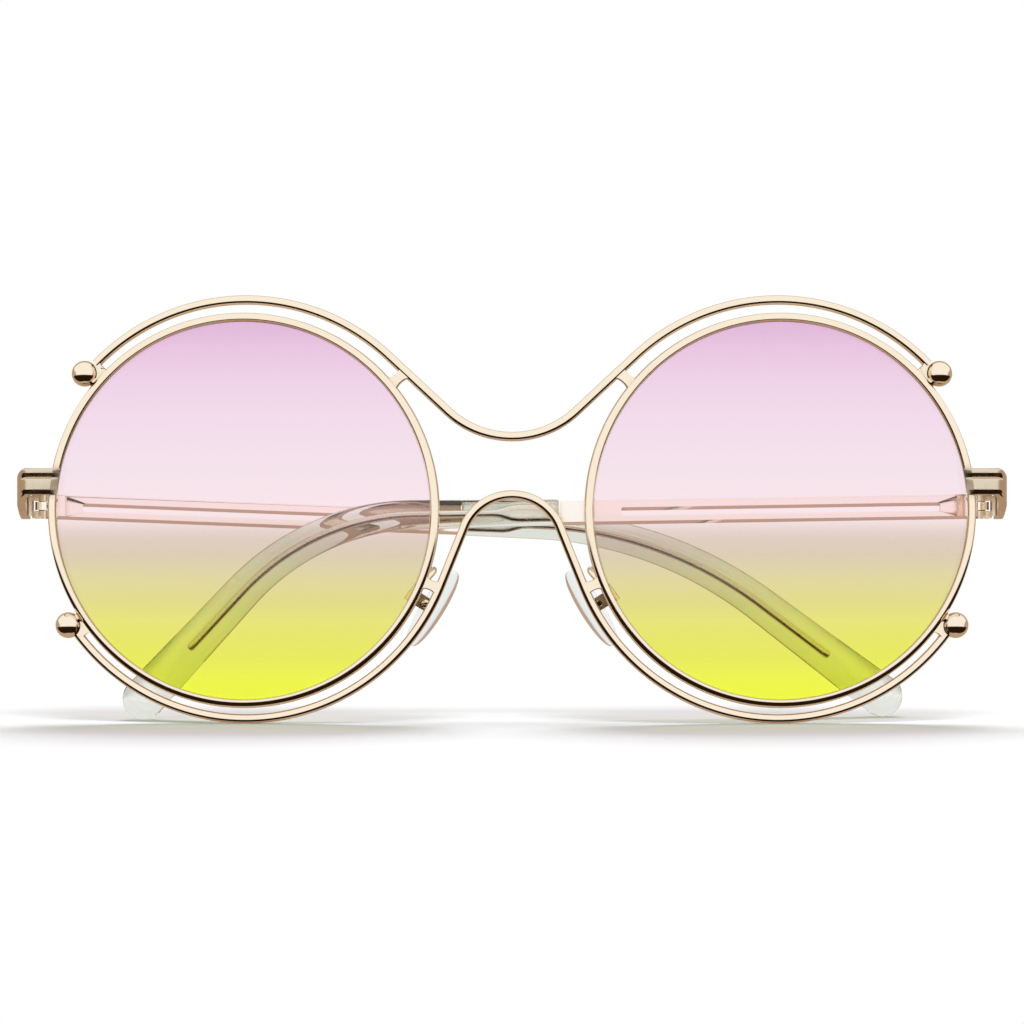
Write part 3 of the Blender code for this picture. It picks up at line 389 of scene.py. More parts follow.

# %% [markdown]
# ## Clear materials
# Lens, tips and pads are clear plastics. Each is a real closed solid with full transmission, so it
# bends and mirrors light by itself. Glass would stop shadow rays, so for them the surface is a plain
# tinted filter: the floor then gets the coloured light that a thin lens really lets through. The
# lens's tint is a dip dye, graded by height only, with a painted shadow band below the bars.

# %% Clear surfaces
def clear_surface(tree, shader, refraction, shadow):
    """A transmitting shader that is a plain filter for shadow rays.

    Rays mirrored by a metal piece behind it pass freely, so that a bar's shine is tinted only once.
    """
    set_inputs(tree, shader, {"Transmission Weight": 1.0, "IOR": refraction})
    light = tree.nodes.new("ShaderNodeLightPath").outputs
    filtered = add_node(tree, "ShaderNodeBsdfTransparent", {"Color": shadow})
    choice = mix_shaders(tree, light["Is Shadow Ray"], shader, filtered)
    mirrored = maths(tree, "SUBTRACT", light["Is Glossy Ray"], light["Is Transmission Ray"])
    passing = mix_shaders(tree, mirrored, choice, tree.nodes.new("ShaderNodeBsdfTransparent"))
    set_inputs(tree, tree.nodes["Material Output"], {"Surface": passing.outputs[0]})


PLASTIC_GREASE = {"Scale": 140.0, "Amount": 1.0}
PLASTIC_ROUGHNESS = (0.02, 0.06)
FLOW_STRETCH = 0.5
FLOW_HEIGHT = 0.05 * MM
FLOW_SHADE = 0.985


def plastic_finish(name, colour, refraction, shadow, ripple, wave):
    """Clear moulded plastic with a faint flow ripple and dulled patches."""
    finish, tree, shader = new_material(name)
    grease = use_group(tree, smudges, **PLASTIC_GREASE)
    flow = use_group(tree, scratches, Scale=ripple, Stretch=FLOW_STRETCH)
    body = mix_colours(tree, flow, colour, tuple(FLOW_SHADE * value for value in colour))
    rough = map_range(tree, grease, target=PLASTIC_ROUGHNESS)
    ripples = bump(tree, flow, wave, FLOW_HEIGHT)
    set_inputs(tree, shader, {"Base Color": body, "Roughness": rough, "Normal": ripples})
    clear_surface(tree, shader, refraction, shadow)
    return finish


# The tips' grey-green tint is part real tint and part painted shade, darkened for the shadow seen through
# them
clear_tip = plastic_finish("clear_tip", (0.78, 0.80, 0.74), 1.46, (0.66, 0.70, 0.66), 260.0, 0.08)
clear_pad = plastic_finish("clear_silicone", (0.84, 0.86, 0.85), 1.07, (0.72, 0.74, 0.72), 420.0, 0.02)
print("plastics:", clear_tip.name, clear_pad.name)

# %% Graded lens
# The stops from 0.38 to 0.445 are darkened: a painted shadow band just below the temple bars
# Share of the lens's height and the colour that is seen there against white, as 8-bit values
TINT_AND_SHADOW_STOPS = ((0.03, 240, 248, 96), (0.07, 241, 247, 105), (0.11, 241, 245, 114), (0.16, 241, 241, 125),
              (0.21, 240, 238, 138), (0.26, 232, 226, 149), (0.32, 226, 216, 161), (0.38, 220, 206, 180),
              (0.42, 223, 205, 192), (0.445, 230, 211, 204), (0.475, 245, 227, 228), (0.50, 250, 230, 235),
              (0.63, 244, 226, 236), (0.74, 243, 220, 235), (0.84, 239, 211, 232), (0.93, 233, 197, 225),
              (0.98, 226, 188, 219))
SURFACE_LOSS = 0.05
LENS_REFRACTION = 1.50
LENS_GREASE = {"Scale": 60.0, "Amount": 1.0}
LENS_ROUGHNESS = (0.0, 0.025)
SHADOW_GREY = (0.25, 0.25, 0.18)
SHADOW_SHARE = 0.5


def linear(value):
    """The linear light of an 8-bit screen value."""
    share = value / 255
    return share / 12.92 if share <= 0.04045 else ((share + 0.055) / 1.055) ** 2.4


def tint_of(colour):
    """The filter that gives a seen colour once the white mirrored by the surface is added."""
    return tuple(max(0.0, (linear(value) - SURFACE_LOSS) / (1 - SURFACE_LOSS)) for value in colour)


def lens_finish():
    finish, tree, shader = new_material("graded_lens")
    height = add_node(tree, "ShaderNodeSeparateXYZ", {0: own_axes(tree)}).outputs["Z"]
    level = map_range(tree, height, (LENS_Z - RIM_INNER, LENS_Z + RIM_INNER))
    # The ramp holds the dye's grade and the painted shadow band below the bars
    ramp = add_node(tree, "ShaderNodeValToRGB", {0: level})
    stops = ramp.color_ramp.elements
    while len(stops) < len(TINT_AND_SHADOW_STOPS):
        stops.new(0.5)
    for stop, (share, *colour) in zip(stops, TINT_AND_SHADOW_STOPS):
        stop.position = share
        stop.color = (*tint_of(colour), 1.0)
    grease = use_group(tree, smudges, **LENS_GREASE)
    rough = map_range(tree, grease, target=LENS_ROUGHNESS)
    set_inputs(tree, shader, {"Base Color": ramp.outputs[0], "Roughness": rough})
    shadow = mix_colours(tree, SHADOW_SHARE, ramp.outputs[0], SHADOW_GREY)
    clear_surface(tree, shader, LENS_REFRACTION, shadow)
    return finish


graded_lens = lens_finish()
print("lens:", graded_lens.name, "with", len(TINT_AND_SHADOW_STOPS), "stops")

# %% [markdown]
# ## Rims
# Each rim is one grooved wire bent round the lens and cut where the closing blocks sit. Wherever an
# edge looks down it is rounded off wide, so that the bright front ends in a dark line and a warm
# band, and wherever it looks up it is crisp. One section that changes with the height round the
# circle gives both, and the loft stays open by the width of the saw cut.

# %% Rims
BACK_ROUND = 0.35 * MM
EDGE_WIDE = 0.92 * MM
EDGE_NARROW = 0.22 * MM
EDGE_DEEP = 0.72 * MM
LIP_WIDE = 0.38 * MM
LIP_NARROW = 0.14 * MM
LIP_TURN = 0.50
LIP_ANGLE = 54
GROOVE_MOUTH = 0.80 * MM
GROOVE_FLOOR = 0.35 * MM
GROOVE_DEPTH = 0.70 * MM
SAW_CUT = 0.30 * MM
END_RISE = 4.30 * MM
RIM_STEPS = 220
CLOSING_ANGLE = asin(END_RISE / RIM_OUTER)


def add_piece(node, ending, mesh, finish=champagne_gold, body="front"):
    """A finer shape that rides on a body and replaces one solid."""
    mesh.name = node
    mesh.materials.append(finish)
    item = new_object(node + ending, mesh)
    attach(item, body)
    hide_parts(node)
    return item


def corner(centre, radius, first, last, steps=5):
    """Points of an arc in a section plane, angles in degrees; radius may be two half axes."""
    wide, deep = radius if isinstance(radius, tuple) else (radius, radius)
    angles = [radians(angle) for angle in evenly(first, last, steps)]
    return [(centre[0] + wide * cos(a), centre[1] + deep * sin(a)) for a in angles]


def rim_section(level):
    """Section as (radius, height above the lens plane). level is 1 at the top and -1 at the bottom."""
    half = RIM_DEPTH / 2
    falls = (1 - level) / 2
    edge = (between(EDGE_NARROW, EDGE_WIDE, falls), between(EDGE_NARROW, EDGE_DEEP, falls))
    lip = between(LIP_WIDE, LIP_NARROW, falls)
    turn = lip * LIP_TURN
    outline = corner((RIM_OUTER - edge[0], half - edge[1]), edge, 0, 90, 10)
    outline += corner((RIM_INNER + lip, half - turn), turn, 90, 90 + LIP_ANGLE, 4)
    fall = (outline[-1][0] - RIM_INNER) * tan(radians(LIP_ANGLE))
    outline.append((RIM_INNER, outline[-1][1] - fall))
    outline += [(RIM_INNER, GROOVE_MOUTH / 2), (RIM_INNER + GROOVE_DEPTH, GROOVE_FLOOR / 2),
                (RIM_INNER + GROOVE_DEPTH, -GROOVE_FLOOR / 2), (RIM_INNER, -GROOVE_MOUTH / 2)]
    outline += corner((RIM_INNER + LIP_NARROW, LIP_NARROW - half), LIP_NARROW, 180, 270, 3)
    return outline + corner((RIM_OUTER - BACK_ROUND, BACK_ROUND - half), BACK_ROUND, 270, 360)


def make_rim(side, tag):
    cut = SAW_CUT / 2 / RIM_OUTER
    rings = []
    for turn in evenly(0, tau - 2 * cut, RIM_STEPS):
        angle = CLOSING_ANGLE + cut + turn
        axes = spoke(side, angle, True)
        rings.append([axes @ Vector((r, -height, 0.0)) for r, height in rim_section(sin(angle))])
    add_piece("rim_" + tag, "_polished", loft(rings))


for side, tag in SIDES.items():
    make_rim(side, tag)
print("rims: section of", len(rim_section(0.0)), "points,", RIM_STEPS, "steps")

# %% [markdown]
# ## Lenses
# A sunglass lens is a thin curved disc of even thickness with a ridge round its edge. It could be a
# bent plate, but a turned body gets the ridge with it, and many rings make its curve smooth enough
# for a clean reflection.

# %% Lenses
LENS_FIT = 0.12 * MM
LENS_THICKNESS = 1.70 * MM
LENS_CURVE = 150.0 * MM
LENS_ROWS = 14
LENS_STEPS = 128
POLE = MM / 100


def lens_profile():
    """(height, radius) pairs from the front's middle to the back's middle."""
    body = RIM_INNER - LENS_FIT
    ridge = body + GROOVE_DEPTH
    foot = GROOVE_MOUTH / 2 - LENS_FIT
    crest = GROOVE_FLOOR / 2 - LENS_FIT / 2
    radii = [max(POLE, radius) for radius in evenly(0, body, LENS_ROWS)]
    fall = sqrt(LENS_CURVE ** 2 - body ** 2)
    bulge = [sqrt(LENS_CURVE ** 2 - radius ** 2) - fall for radius in radii]
    half = LENS_THICKNESS / 2
    front = [(half + rise, radius) for rise, radius in zip(bulge, radii)]
    back = [(rise - half, radius) for rise, radius in zip(bulge[::-1], radii[::-1])]
    return front + [(foot, body), (crest, ridge), (-crest, ridge), (-foot, body)] + back


for side, tag in SIDES.items():
    facing = lens_axes[side] @ Matrix.Rotation(-pi / 2, 4, "Z")
    disc = turned(lens_profile(), LENS_STEPS, facing)
    add_piece("lens_" + tag, "_graded", disc, graded_lens)
print("lenses:", len(lens_profile()), "rings of", LENS_STEPS)

# %% [markdown]
# ## Brow wire and lower wire
# Both are one drawn wire bent in a jig: an arc round each lens, then a straight run that dips (brow)
# or rises (nose arch) to the middle. All arcs are formulas, so the bend stays true at any fineness.
# The wire is pressed a little square, so its front mirrors one even tone; a superellipse turned
# slightly upwards gives that flat front and a shaded underside.

# %% Wires
WIRE = 0.68 * MM
BALL = 1.925 * MM
BRAZE = 0.12 * MM
BROW_RADIUS = RIM_OUTER + 1.23 * MM + WIRE
BROW_SHIFT = 0.35 * MM
BROW_BALL_ANGLE = radians(40.5)
BROW_SLOPE = radians(43.0)
BROW_DIP = 10.90 * MM
LOWER_RADIUS = RIM_OUTER + 1.22 * MM + WIRE
LOWER_SHIFT = 0.30 * MM
LOWER_BALL_ANGLE = radians(-33.0)
NOSE_SLOPE = radians(68.0)
NOSE_ARCH = 2.30 * MM
ARC_STEP = radians(1.6)
FRONT_TILT = radians(17.0)
WIRE_ROUNDNESS = 2.4
WIRE_SIDES = 32


def arc(centre, radius, first, last):
    angles = evenly(first, last, ceil(abs(last - first) / ARC_STEP))
    return [(centre[0] + radius * cos(a), centre[1] + radius * sin(a)) for a in angles]


def valley(start, slope, low):
    """The arc that rounds off two runs meeting at the middle, level at height low."""
    run = tan(slope)
    radius = (start[1] - low - run * start[0]) / (1 - cos(slope) - run * sin(slope))
    angles = [slope * (1 - share) for share in evenly(0, 1, ceil(slope / ARC_STEP))]
    return [(radius * sin(a), low + radius * (1 - cos(a))) for a in angles]


def brow_half():
    stop = BROW_BALL_ANGLE + (BALL + BRAZE) / BROW_RADIUS
    over = arc((LENS_X - BROW_SHIFT, LENS_Z), BROW_RADIUS, stop, pi / 2 + BROW_SLOPE)
    return over + valley(over[-1], BROW_SLOPE, LENS_Z + BROW_DIP)


def lower_half():
    centre = (LENS_X - LOWER_SHIFT, LENS_Z + LOWER_SHIFT)
    stop = LOWER_BALL_ANGLE - (BALL + BRAZE) / LOWER_RADIUS
    under = arc(centre, LOWER_RADIUS, stop, -pi / 2 - NOSE_SLOPE)
    rise = valley((under[-1][0], -under[-1][1]), NOSE_SLOPE, -(LENS_Z + NOSE_ARCH))
    return under + [(x, -z) for x, z in rise]


def whole_wire(half):
    return [Vector((x, front_depth(x), z)) for x, z in [(-x, z) for x, z in half[:-1]] + half[::-1]]


def wire_mesh(points, radius, roundness=2.0):
    """A wire along points, whose section keeps its flat front turned a little upwards."""
    front = Vector((0.0, -cos(FRONT_TILT), sin(FRONT_TILT)))
    rings = []
    for before, point, after in zip(points[:1] + points, points, points[1:] + points[-1:]):
        along = (after - before).normalized()
        facing = (front - along * front.dot(along)).normalized()
        across = along.cross(facing)
        section = oval(radius, radius, roundness, WIRE_SIDES)
        rings.append([point + across * a + facing * b for a, b in section])
    return loft(rings)


brow_line = whole_wire(brow_half())
lower_line = whole_wire(lower_half())
add_piece("brow_wire", "_polished", wire_mesh(brow_line, WIRE, WIRE_ROUNDNESS))
add_piece("lower_wire", "_polished", wire_mesh(lower_line, WIRE, WIRE_ROUNDNESS))
print("wires:", len(brow_line), "and", len(lower_line), "points")

# %% [markdown]
# ## Balls and posts
# Every wire end has a bright ball brazed to the rim, with a flat web beside it, and a post ties each
# wire to the rim near the nose. Braze metal runs into the corners, so a post swells towards both
# ends. Each is a flat plate whose outline follows the rim, the wire and, beside a ball, its circle.

# %% Balls
BALL_RINGS = 24
BALL_STEPS = 48
SEAT = RIM_OUTER + BRAZE + BALL
BALL_NECK = 0.85 * MM
NECK_FLARE = 1.25


def ball_profile():
    """A ball with a short braze neck that runs down to the rim."""
    angles = evenly(asin(BALL_NECK / BALL), pi, BALL_RINGS)[:-1]
    neck = [(RIM_OUTER - BRAZE - SEAT, BALL_NECK * NECK_FLARE), (RIM_OUTER + BRAZE / 2 - SEAT, BALL_NECK)]
    return neck + [(-BALL * cos(a), BALL * sin(a)) for a in angles] + [(BALL, POLE)]


def make_ball(side, node, angle):
    seat = spoke(side, angle, True) @ Matrix.Translation((SEAT, 0.0, 0.0))
    add_piece(node, "_polished", turned(ball_profile(), BALL_STEPS, seat))


for side, tag in SIDES.items():
    make_ball(side, "brow_ball_" + tag, BROW_BALL_ANGLE)
    make_ball(side, "lower_ball_" + tag, LOWER_BALL_ANGLE)
print("balls: 4 of", round(2 * BALL / MM, 2), "mm")

# %% Posts
POST_STEPS = 14
POST_SINK = 0.30 * MM
POST_WAIST = 1.40 * MM
POST_FOOT = 2.30 * MM
POST_THICKNESS = 1.24 * MM
POST_BEVEL = 0.16 * MM
END_POST_WAIST = 0.70 * MM
FLARE_POWER = 2.6
# Angle of each post, whether it is on the temple's side, its wire, and the side of the ball beside it
POSTS = {"brow_post_": (radians(40.0), False, brow_line, 0),
         "nose_post_": (radians(-21.5), False, lower_line, 0),
         "brow_end_post_": (BROW_BALL_ANGLE, True, brow_line, 1),
         "lower_end_post_": (LOWER_BALL_ANGLE, True, lower_line, -1)}


def wire_reach(line, axes):
    """Distance from the lens centre to a wire's middle line, along a spoke."""
    local = [axes.inverted() @ point for point in line]
    return min(a.x + a.z / (a.z - b.z) * (b.x - a.x) for a, b in zip(local, local[1:])
               if a.x > 0 and b.x > 0 and min(a.z, b.z) <= 0 < max(a.z, b.z))


def ball_edge(radius):
    """Turn from a ball's spoke to the point where its surface meets a circle of this radius."""
    return acos(min(1.0, (radius ** 2 + SEAT ** 2 - BALL ** 2) / (2 * radius * SEAT)))


def post_side(line, side, angle, outward, way, beside):
    """One side of a post from rim to wire, as (radius, turn). Way -1 follows the ball beside it."""
    near = RIM_OUTER - POST_SINK
    waist = END_POST_WAIST if beside else POST_WAIST / 2
    seat = ball_edge(SEAT) if beside else 0.0
    follows = beside and way < 0
    points = []
    for share in evenly(0, 1, POST_STEPS):
        flare = (POST_FOOT - POST_WAIST) / 2 * abs(2 * share - 1) ** FLARE_POWER
        aside = seat + (waist / 2 if follows else way * (waist + flare)) / near
        reach = wire_reach(line, spoke(side, angle + (beside or 1) * aside, outward))
        radius = between(near, reach, share)
        points.append((radius, ball_edge(max(radius, RIM_OUTER + BRAZE)) if follows else aside))
    return points


def make_post(side, node, angle, outward, line, beside):
    near, far = (post_side(line, side, angle, outward, way, beside) for way in (-1, 1))
    up = (side if outward else -side) * (beside or 1)
    outline = [(r * cos(a), up * r * sin(a)) for r, a in near + far[::-1]]
    upright = spoke(side, angle, outward) @ UPRIGHT
    post = add_piece(node, "_brazed", plate_mesh([outline], POST_THICKNESS, upright))
    break_edges(post, POST_BEVEL)


for side, tag in SIDES.items():
    for name, values in POSTS.items():
        make_post(side, name + tag, *values)
print("posts:", 2 * len(POSTS))

# %% [markdown]
# ## End pieces
# An end piece is a stamped strip with two rounded ridges. It lies on the front of the rim, where its
# bevelled end follows the lens's edge and hides the saw cut, then turns the corner, where the ridges
# end, and drops to the hinge. The section's few points are smoothed into soft ridges.

# %% End pieces
END_HEIGHT = 4.00 * MM
END_THICKNESS = 1.20 * MM
END_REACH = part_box("end_piece_right")[1][0]
END_CORNER = 3.20 * MM
END_DROP = 3.60 * MM
DROP_POWER = 0.6
DROP_FROM = 0.45
END_BEVEL = 0.95 * MM
END_LIP = 0.20 * MM
RIDGE = 0.50 * MM
HINGE_AT = {side: Vector(next(j for j in frame["joints"] if j["name"] == "fold_" + tag)["pos_m"])
            for side, tag in SIDES.items()}
CORNER_STEPS = 24
DROP_STEPS = 18
END_STEP = 0.60 * MM
RIDGE_STOP = (0.44, 0.56)
RIDGE_POINTS = 4
# Share of the half height and of the ridge's own height, from the lower edge to the upper one
RIDGE_LEVELS = ((-1.0, 0.10), (-0.93, 0.46), (-0.80, 0.68), (-0.66, 0.90), (-0.56, 1.0), (-0.20, 1.0),
                (0.10, 0.96), (0.22, 0.84), (0.28, 0.42), (0.32, 0.34), (0.37, 0.42), (0.56, 0.86),
                (0.66, 1.0), (0.76, 1.0), (0.92, 0.90), (1.0, 0.45))
BACK_LEVELS = (1.0, 0.5, 0.0, -0.5, -1.0)


def end_section(fade):
    half, body = END_HEIGHT / 2, END_THICKNESS / 2
    outer = [Vector((body - RIDGE * fade * (1 - swell), half * level)) for level, swell in RIDGE_LEVELS]
    return smooth_line(outer, RIDGE_POINTS) + [(-body, half * level) for level in BACK_LEVELS]


def rim_edge(rise):
    """Reach of the rim's inner edge in the lens plane at a height above the lens centre."""
    return sqrt(RIM_INNER ** 2 - rise ** 2)


def end_drop(share):
    eased = max(0.0, share) ** DROP_POWER
    return END_DROP * eased * eased * (3 - 2 * eased)


def end_stations():
    """Place, direction, ridge strength and bevel of each station, from lens edge to hinge."""
    rise = LENS_Z + END_RISE
    inner = LENS_X + rim_edge(END_RISE) * cos(FACE_WRAP)
    outer = END_REACH - END_THICKNESS / 2
    stand = RIM_DEPTH / 2 + END_THICKNESS / 2
    depth = front_depth(inner) - stand / cos(FACE_WRAP)
    forward = FACE_WRAP - pi / 2
    start = outer - END_CORNER
    stations = []
    bevelled = spaced(0.0, END_BEVEL, END_BEVEL / 2)
    for reach in bevelled + spaced(END_BEVEL + BRAZE, start - inner, END_STEP)[:-1]:
        at = Vector((inner + reach, depth + reach * tan(FACE_WRAP), rise))
        stations.append((at, forward, 1.0, max(0.0, 1.0 - reach / END_BEVEL)))
    centre = Vector((start, depth + END_CORNER + (start - inner) * tan(FACE_WRAP), 0.0))
    back = HINGE_AT[1].y - BRAZE
    bend = END_CORNER * pi / 2
    before = bend * DROP_FROM
    run = bend - before + back - centre.y
    for share in evenly(0, 1, CORNER_STEPS):
        facing = forward * (1 - share)
        reach = Vector((cos(facing), sin(facing), 0.0)) * END_CORNER
        level = Vector((0.0, 0.0, rise - end_drop((bend * share - before) / run)))
        fade = 1.0 - max(0.0, min(1.0, (share - RIDGE_STOP[0]) / (RIDGE_STOP[1] - RIDGE_STOP[0])))
        stations.append((centre + reach + level, facing, fade, 0.0))
    for share in evenly(0, 1, DROP_STEPS)[1:]:
        further = (back - centre.y) * share
        drop = end_drop((bend - before + further) / run)
        stations.append((Vector((outer, centre.y + further, rise - drop)), 0.0, 0.0, 0.0))
    return stations


def make_end_piece(side, tag):
    rings = []
    for at, facing, fade, bevel in end_stations():
        out = Vector((cos(facing), sin(facing), 0.0))
        along = Vector((-sin(facing), cos(facing), 0.0))
        front = at.x < END_REACH - END_THICKNESS / 2 - END_CORNER
        taper = (END_REACH - at.x) / (END_REACH - LENS_X - RIM_INNER) if front else 0.0
        ring = []
        for n, z in end_section(fade):
            shift = (rim_edge(END_RISE + z) - rim_edge(END_RISE)) * taper
            n = min(n, END_THICKNESS / 2 - (END_THICKNESS - END_LIP) * bevel)
            ring.append(at + out * n + along * shift + Vector((0.0, 0.0, z)))
        rings.append([(side * p.x, p.y, p.z) for p in ring])
    add_piece("end_piece_" + tag, "_stamped", loft(rings), brushed_gold)


for side, tag in SIDES.items():
    make_end_piece(side, tag)
print("end pieces:", len(end_stations()), "stations")

# %% [markdown]
# ## Hinges, closing blocks and screws
# These small machined pieces already have their true shape in the frame, so they stay, with a bevel
# modifier to catch the light on their edges. The screws are turned again with a domed, slotted head.

# %% Machined pieces
FINE_BEVEL = 0.09 * MM
MACHINED = {"hinge_front_leaf_": brushed_gold, "hinge_temple_leaf_": bar_gold_lit, "pad_box_": box_gold,
            "closing_block_upper_": brushed_gold, "closing_block_lower_": brushed_gold}
for tag in SIDES.values():
    for name, finish in MACHINED.items():
        kept = nodes[name + tag]
        kept.data.materials.clear()
        kept.data.materials.append(finish)
        break_edges(kept, FINE_BEVEL, 2)
print("machined pieces kept:", 2 * len(MACHINED))

# %% Screws
HEAD_SHARES = ((0.0, 1.0), (0.55, 1.0), (0.85, 0.8), (1.0, 0.45))
SHANK_TIP_SHARE = 0.8
SLOT_WIDTH_SHARE = 0.17
SLOT_FLOOR_SHARE = 0.55
SCREW_STEPS = 24
# Radius of the shank, radius of the head and height of the head
HINGE_SCREW = (0.45 * MM, 0.80 * MM, 0.40 * MM)
RIM_SCREW = (0.50 * MM, 0.80 * MM, 0.45 * MM)
BLOCK_REACH = 1.90 * MM
BLOCK_DEPTH = 2.20 * MM
BLOCK_HEIGHT = 1.25 * MM


def carve(item, tool_mesh, operation, crease=SMOOTH_ANGLE):
    """Cuts a tool out of a piece or joins it on, and keeps the result as its mesh."""
    tool = new_object(item.name + "_tool", tool_mesh)
    step = item.modifiers.new("carve", "BOOLEAN")
    step.object = tool
    step.operation = operation
    bpy.context.view_layer.update()
    shaped = bpy.data.meshes.new_from_object(item.evaluated_get(bpy.context.evaluated_depsgraph_get()))
    item.modifiers.remove(step)
    shaped.set_sharp_from_angle(angle=crease)
    item.data = shaped
    bpy.data.objects.remove(tool)


def block_mesh(low, high, axes):
    """A box between two corners of its own axes."""
    shape = bmesh.new()
    bmesh.ops.create_cube(shape, size=1.0)
    for vert in shape.verts:
        vert.co = axes @ Vector([high[i] if vert.co[i] > 0 else low[i] for i in range(3)])
    return to_mesh(shape)


def slotted_screw(node, start, end, shank, head, height):
    """A turned screw from under its head to its tip, with a domed head and a sawn slot."""
    length = (end - start).length
    axes = Matrix.Translation(start) @ (start - end).to_track_quat("X", "Z").to_matrix().to_4x4()
    profile = [(-length, POLE), (-length, shank * SHANK_TIP_SHARE), (shank / 3 - length, shank), (0.0, shank)]
    profile += [(height * level, head * width) for level, width in HEAD_SHARES] + [(height, POLE)]
    screw = add_piece(node, "_slotted", turned(profile, SCREW_STEPS, axes), screw_gold)
    half = head * SLOT_WIDTH_SHARE
    saw = block_mesh((height * SLOT_FLOOR_SHARE, -2 * head, -half), (2 * height, 2 * head, half), axes)
    carve(screw, saw, "DIFFERENCE")


def hinge_screw(tag):
    low, high = box_corners("hinge_screw_" + tag)
    middle = (low + high) / 2
    start = Vector((middle.x, middle.y, high.z - HINGE_SCREW[2]))
    slotted_screw("hinge_screw_" + tag, start, Vector((middle.x, middle.y, low.z)), *HINGE_SCREW)


def rim_screw(side, tag):
    axes = spoke(side, CLOSING_ANGLE, True)
    reach = RIM_OUTER + BRAZE + BLOCK_REACH / 2
    depth = (BLOCK_DEPTH - RIM_DEPTH) / 2
    top = SAW_CUT / 2 + BLOCK_HEIGHT
    start = axes @ Vector((reach, depth, side * (top - BRAZE)))
    slotted_screw("rim_screw_" + tag, start, axes @ Vector((reach, depth, -side * top)), *RIM_SCREW)


for side, tag in SIDES.items():
    hinge_screw(tag)
    rim_screw(side, tag)
print("screws with a sawn slot: 4")

# %% [markdown]
# ## Temples
# Each temple is a flat stamped bar with a long slot, a flute stamped at the slot's start, and a metal
# core that runs into a clear tip. The temples are modelled folded, in the axes of their hinge: turned
# by the fold and then by the droop. The two bends differ, because an optician warms and bends each
# tip to fit.

# %% Temple axes and bars
BAR_LENGTH = 63.90 * MM
BAR_HEIGHT = 3.60 * MM
BAR_THICKNESS = 1.20 * MM
BAR_CORNER = 0.40 * MM
BAR_BEVEL = 0.14 * MM
BAR_OFFSET = 1.71 * MM
BAR_MIDDLE = BAR_OFFSET + BAR_THICKNESS / 2
BUTT_GAP = 0.25 * MM
SLOT_START = 6.40 * MM
SLOT_END = 54.50 * MM
SLOT_HALF = 0.64 * MM
SLOT_CORNER = 0.14 * MM
UNDER_FRONT = 0.36 * MM
UNDER_BACK = 0.14 * MM
SLOT_BACK = 0.50 * MM
FLUTE_DEPTH = 0.13 * MM
FLUTE_FACETS = 96
FLUTE_CREASE = radians(7.0)
# Place along the bar and width of the flute's two ends
FLUTE_ENDS = ((3.90 * MM, 3.20 * MM), (7.40 * MM, 0.90 * MM))
fold_angle = {-1: radians(5.5), 1: radians(1.0)}
droop_angle = {-1: radians(2.25), 1: radians(0.9)}
temple_axes = {side: Matrix.Translation(HINGE_AT[side]) @ Matrix.Rotation(-side * fold_angle[side], 4, "Z")
               @ Matrix.Rotation(-side * droop_angle[side], 4, "Y") for side in SIDES}


def rounded_outline(low, high, radius, steps=6):
    """A rectangle with round corners, anticlockwise."""
    left, right = low[0] + radius, high[0] - radius
    under, over = low[1] + radius, high[1] - radius
    points = []
    for i, middle in enumerate(((right, over), (left, over), (left, under), (right, under))):
        points += corner(middle, radius, 90 * i, 90 * i + 90, steps)
    return points


def slant_bar(mesh):
    """Slants the bar's underside and the top of its slot, so that both can be seen from the front."""
    for vert in mesh.vertices:
        front = vert.co.y < BAR_MIDDLE
        in_slot = abs(vert.co.z) <= SLOT_HALF + WELD
        if in_slot and vert.co.z > 0 and not front:
            vert.co.z -= SLOT_BACK * vert.co.z / SLOT_HALF
        if not in_slot and vert.co.z < 0:
            vert.co.z += UNDER_FRONT if front else -UNDER_BACK


def make_bar(side, tag):
    half = BAR_HEIGHT / 2
    bar = rounded_outline((BUTT_GAP, -half), (BAR_LENGTH, half), BAR_CORNER)
    slot = rounded_outline((SLOT_START, -SLOT_HALF), (SLOT_END, SLOT_HALF), SLOT_CORNER, 1)
    upright = Matrix.Translation((0.0, BAR_MIDDLE, 0.0)) @ UPRIGHT
    mesh = plate_mesh([[(-side * x, z) for x, z in line] for line in (bar, slot)], BAR_THICKNESS, upright)
    slant_bar(mesh)
    mesh.transform(temple_axes[side])
    item = add_piece("temple_bar_" + tag, "_stamped", mesh, bar_gold_lit, "temple_" + tag)
    rings = []
    for x, width in FLUTE_ENDS:
        section = oval(FLUTE_DEPTH, width / 2, count=FLUTE_FACETS)
        rings.append([temple_axes[side] @ Vector((-side * x, BAR_OFFSET + n, z)) for n, z in section])
    carve(item, loft(rings), "DIFFERENCE", FLUTE_CREASE)
    break_edges(item, BAR_BEVEL)


for side, tag in SIDES.items():
    make_bar(side, tag)
print("bars:", round(BAR_LENGTH / MM, 1), "mm, slots:", round((SLOT_END - SLOT_START) / MM, 1), "mm")

# %% [markdown]
# ## Clear tips and their cores
# A tip's middle line is straight, then bends round an arc and runs straight to its round end on the
# ground. One function gives place and slope at any length, and tip and core are both carried along
# it. The core starts as a flat paddle and narrows to a round wire.

# %% Tip line
TIP_END_HEIGHT = 6.40 * MM
TIP_INWARD = 4.00 * MM
TIP_ROUNDNESS = 3.0
TIP_SIDES = 28
tip_straight = {-1: 12.10 * MM, 1: 22.10 * MM}
bend_radius = {-1: 60.0 * MM, 1: 36.0 * MM}
bend_angle = {-1: radians(35.0), 1: radians(46.5)}


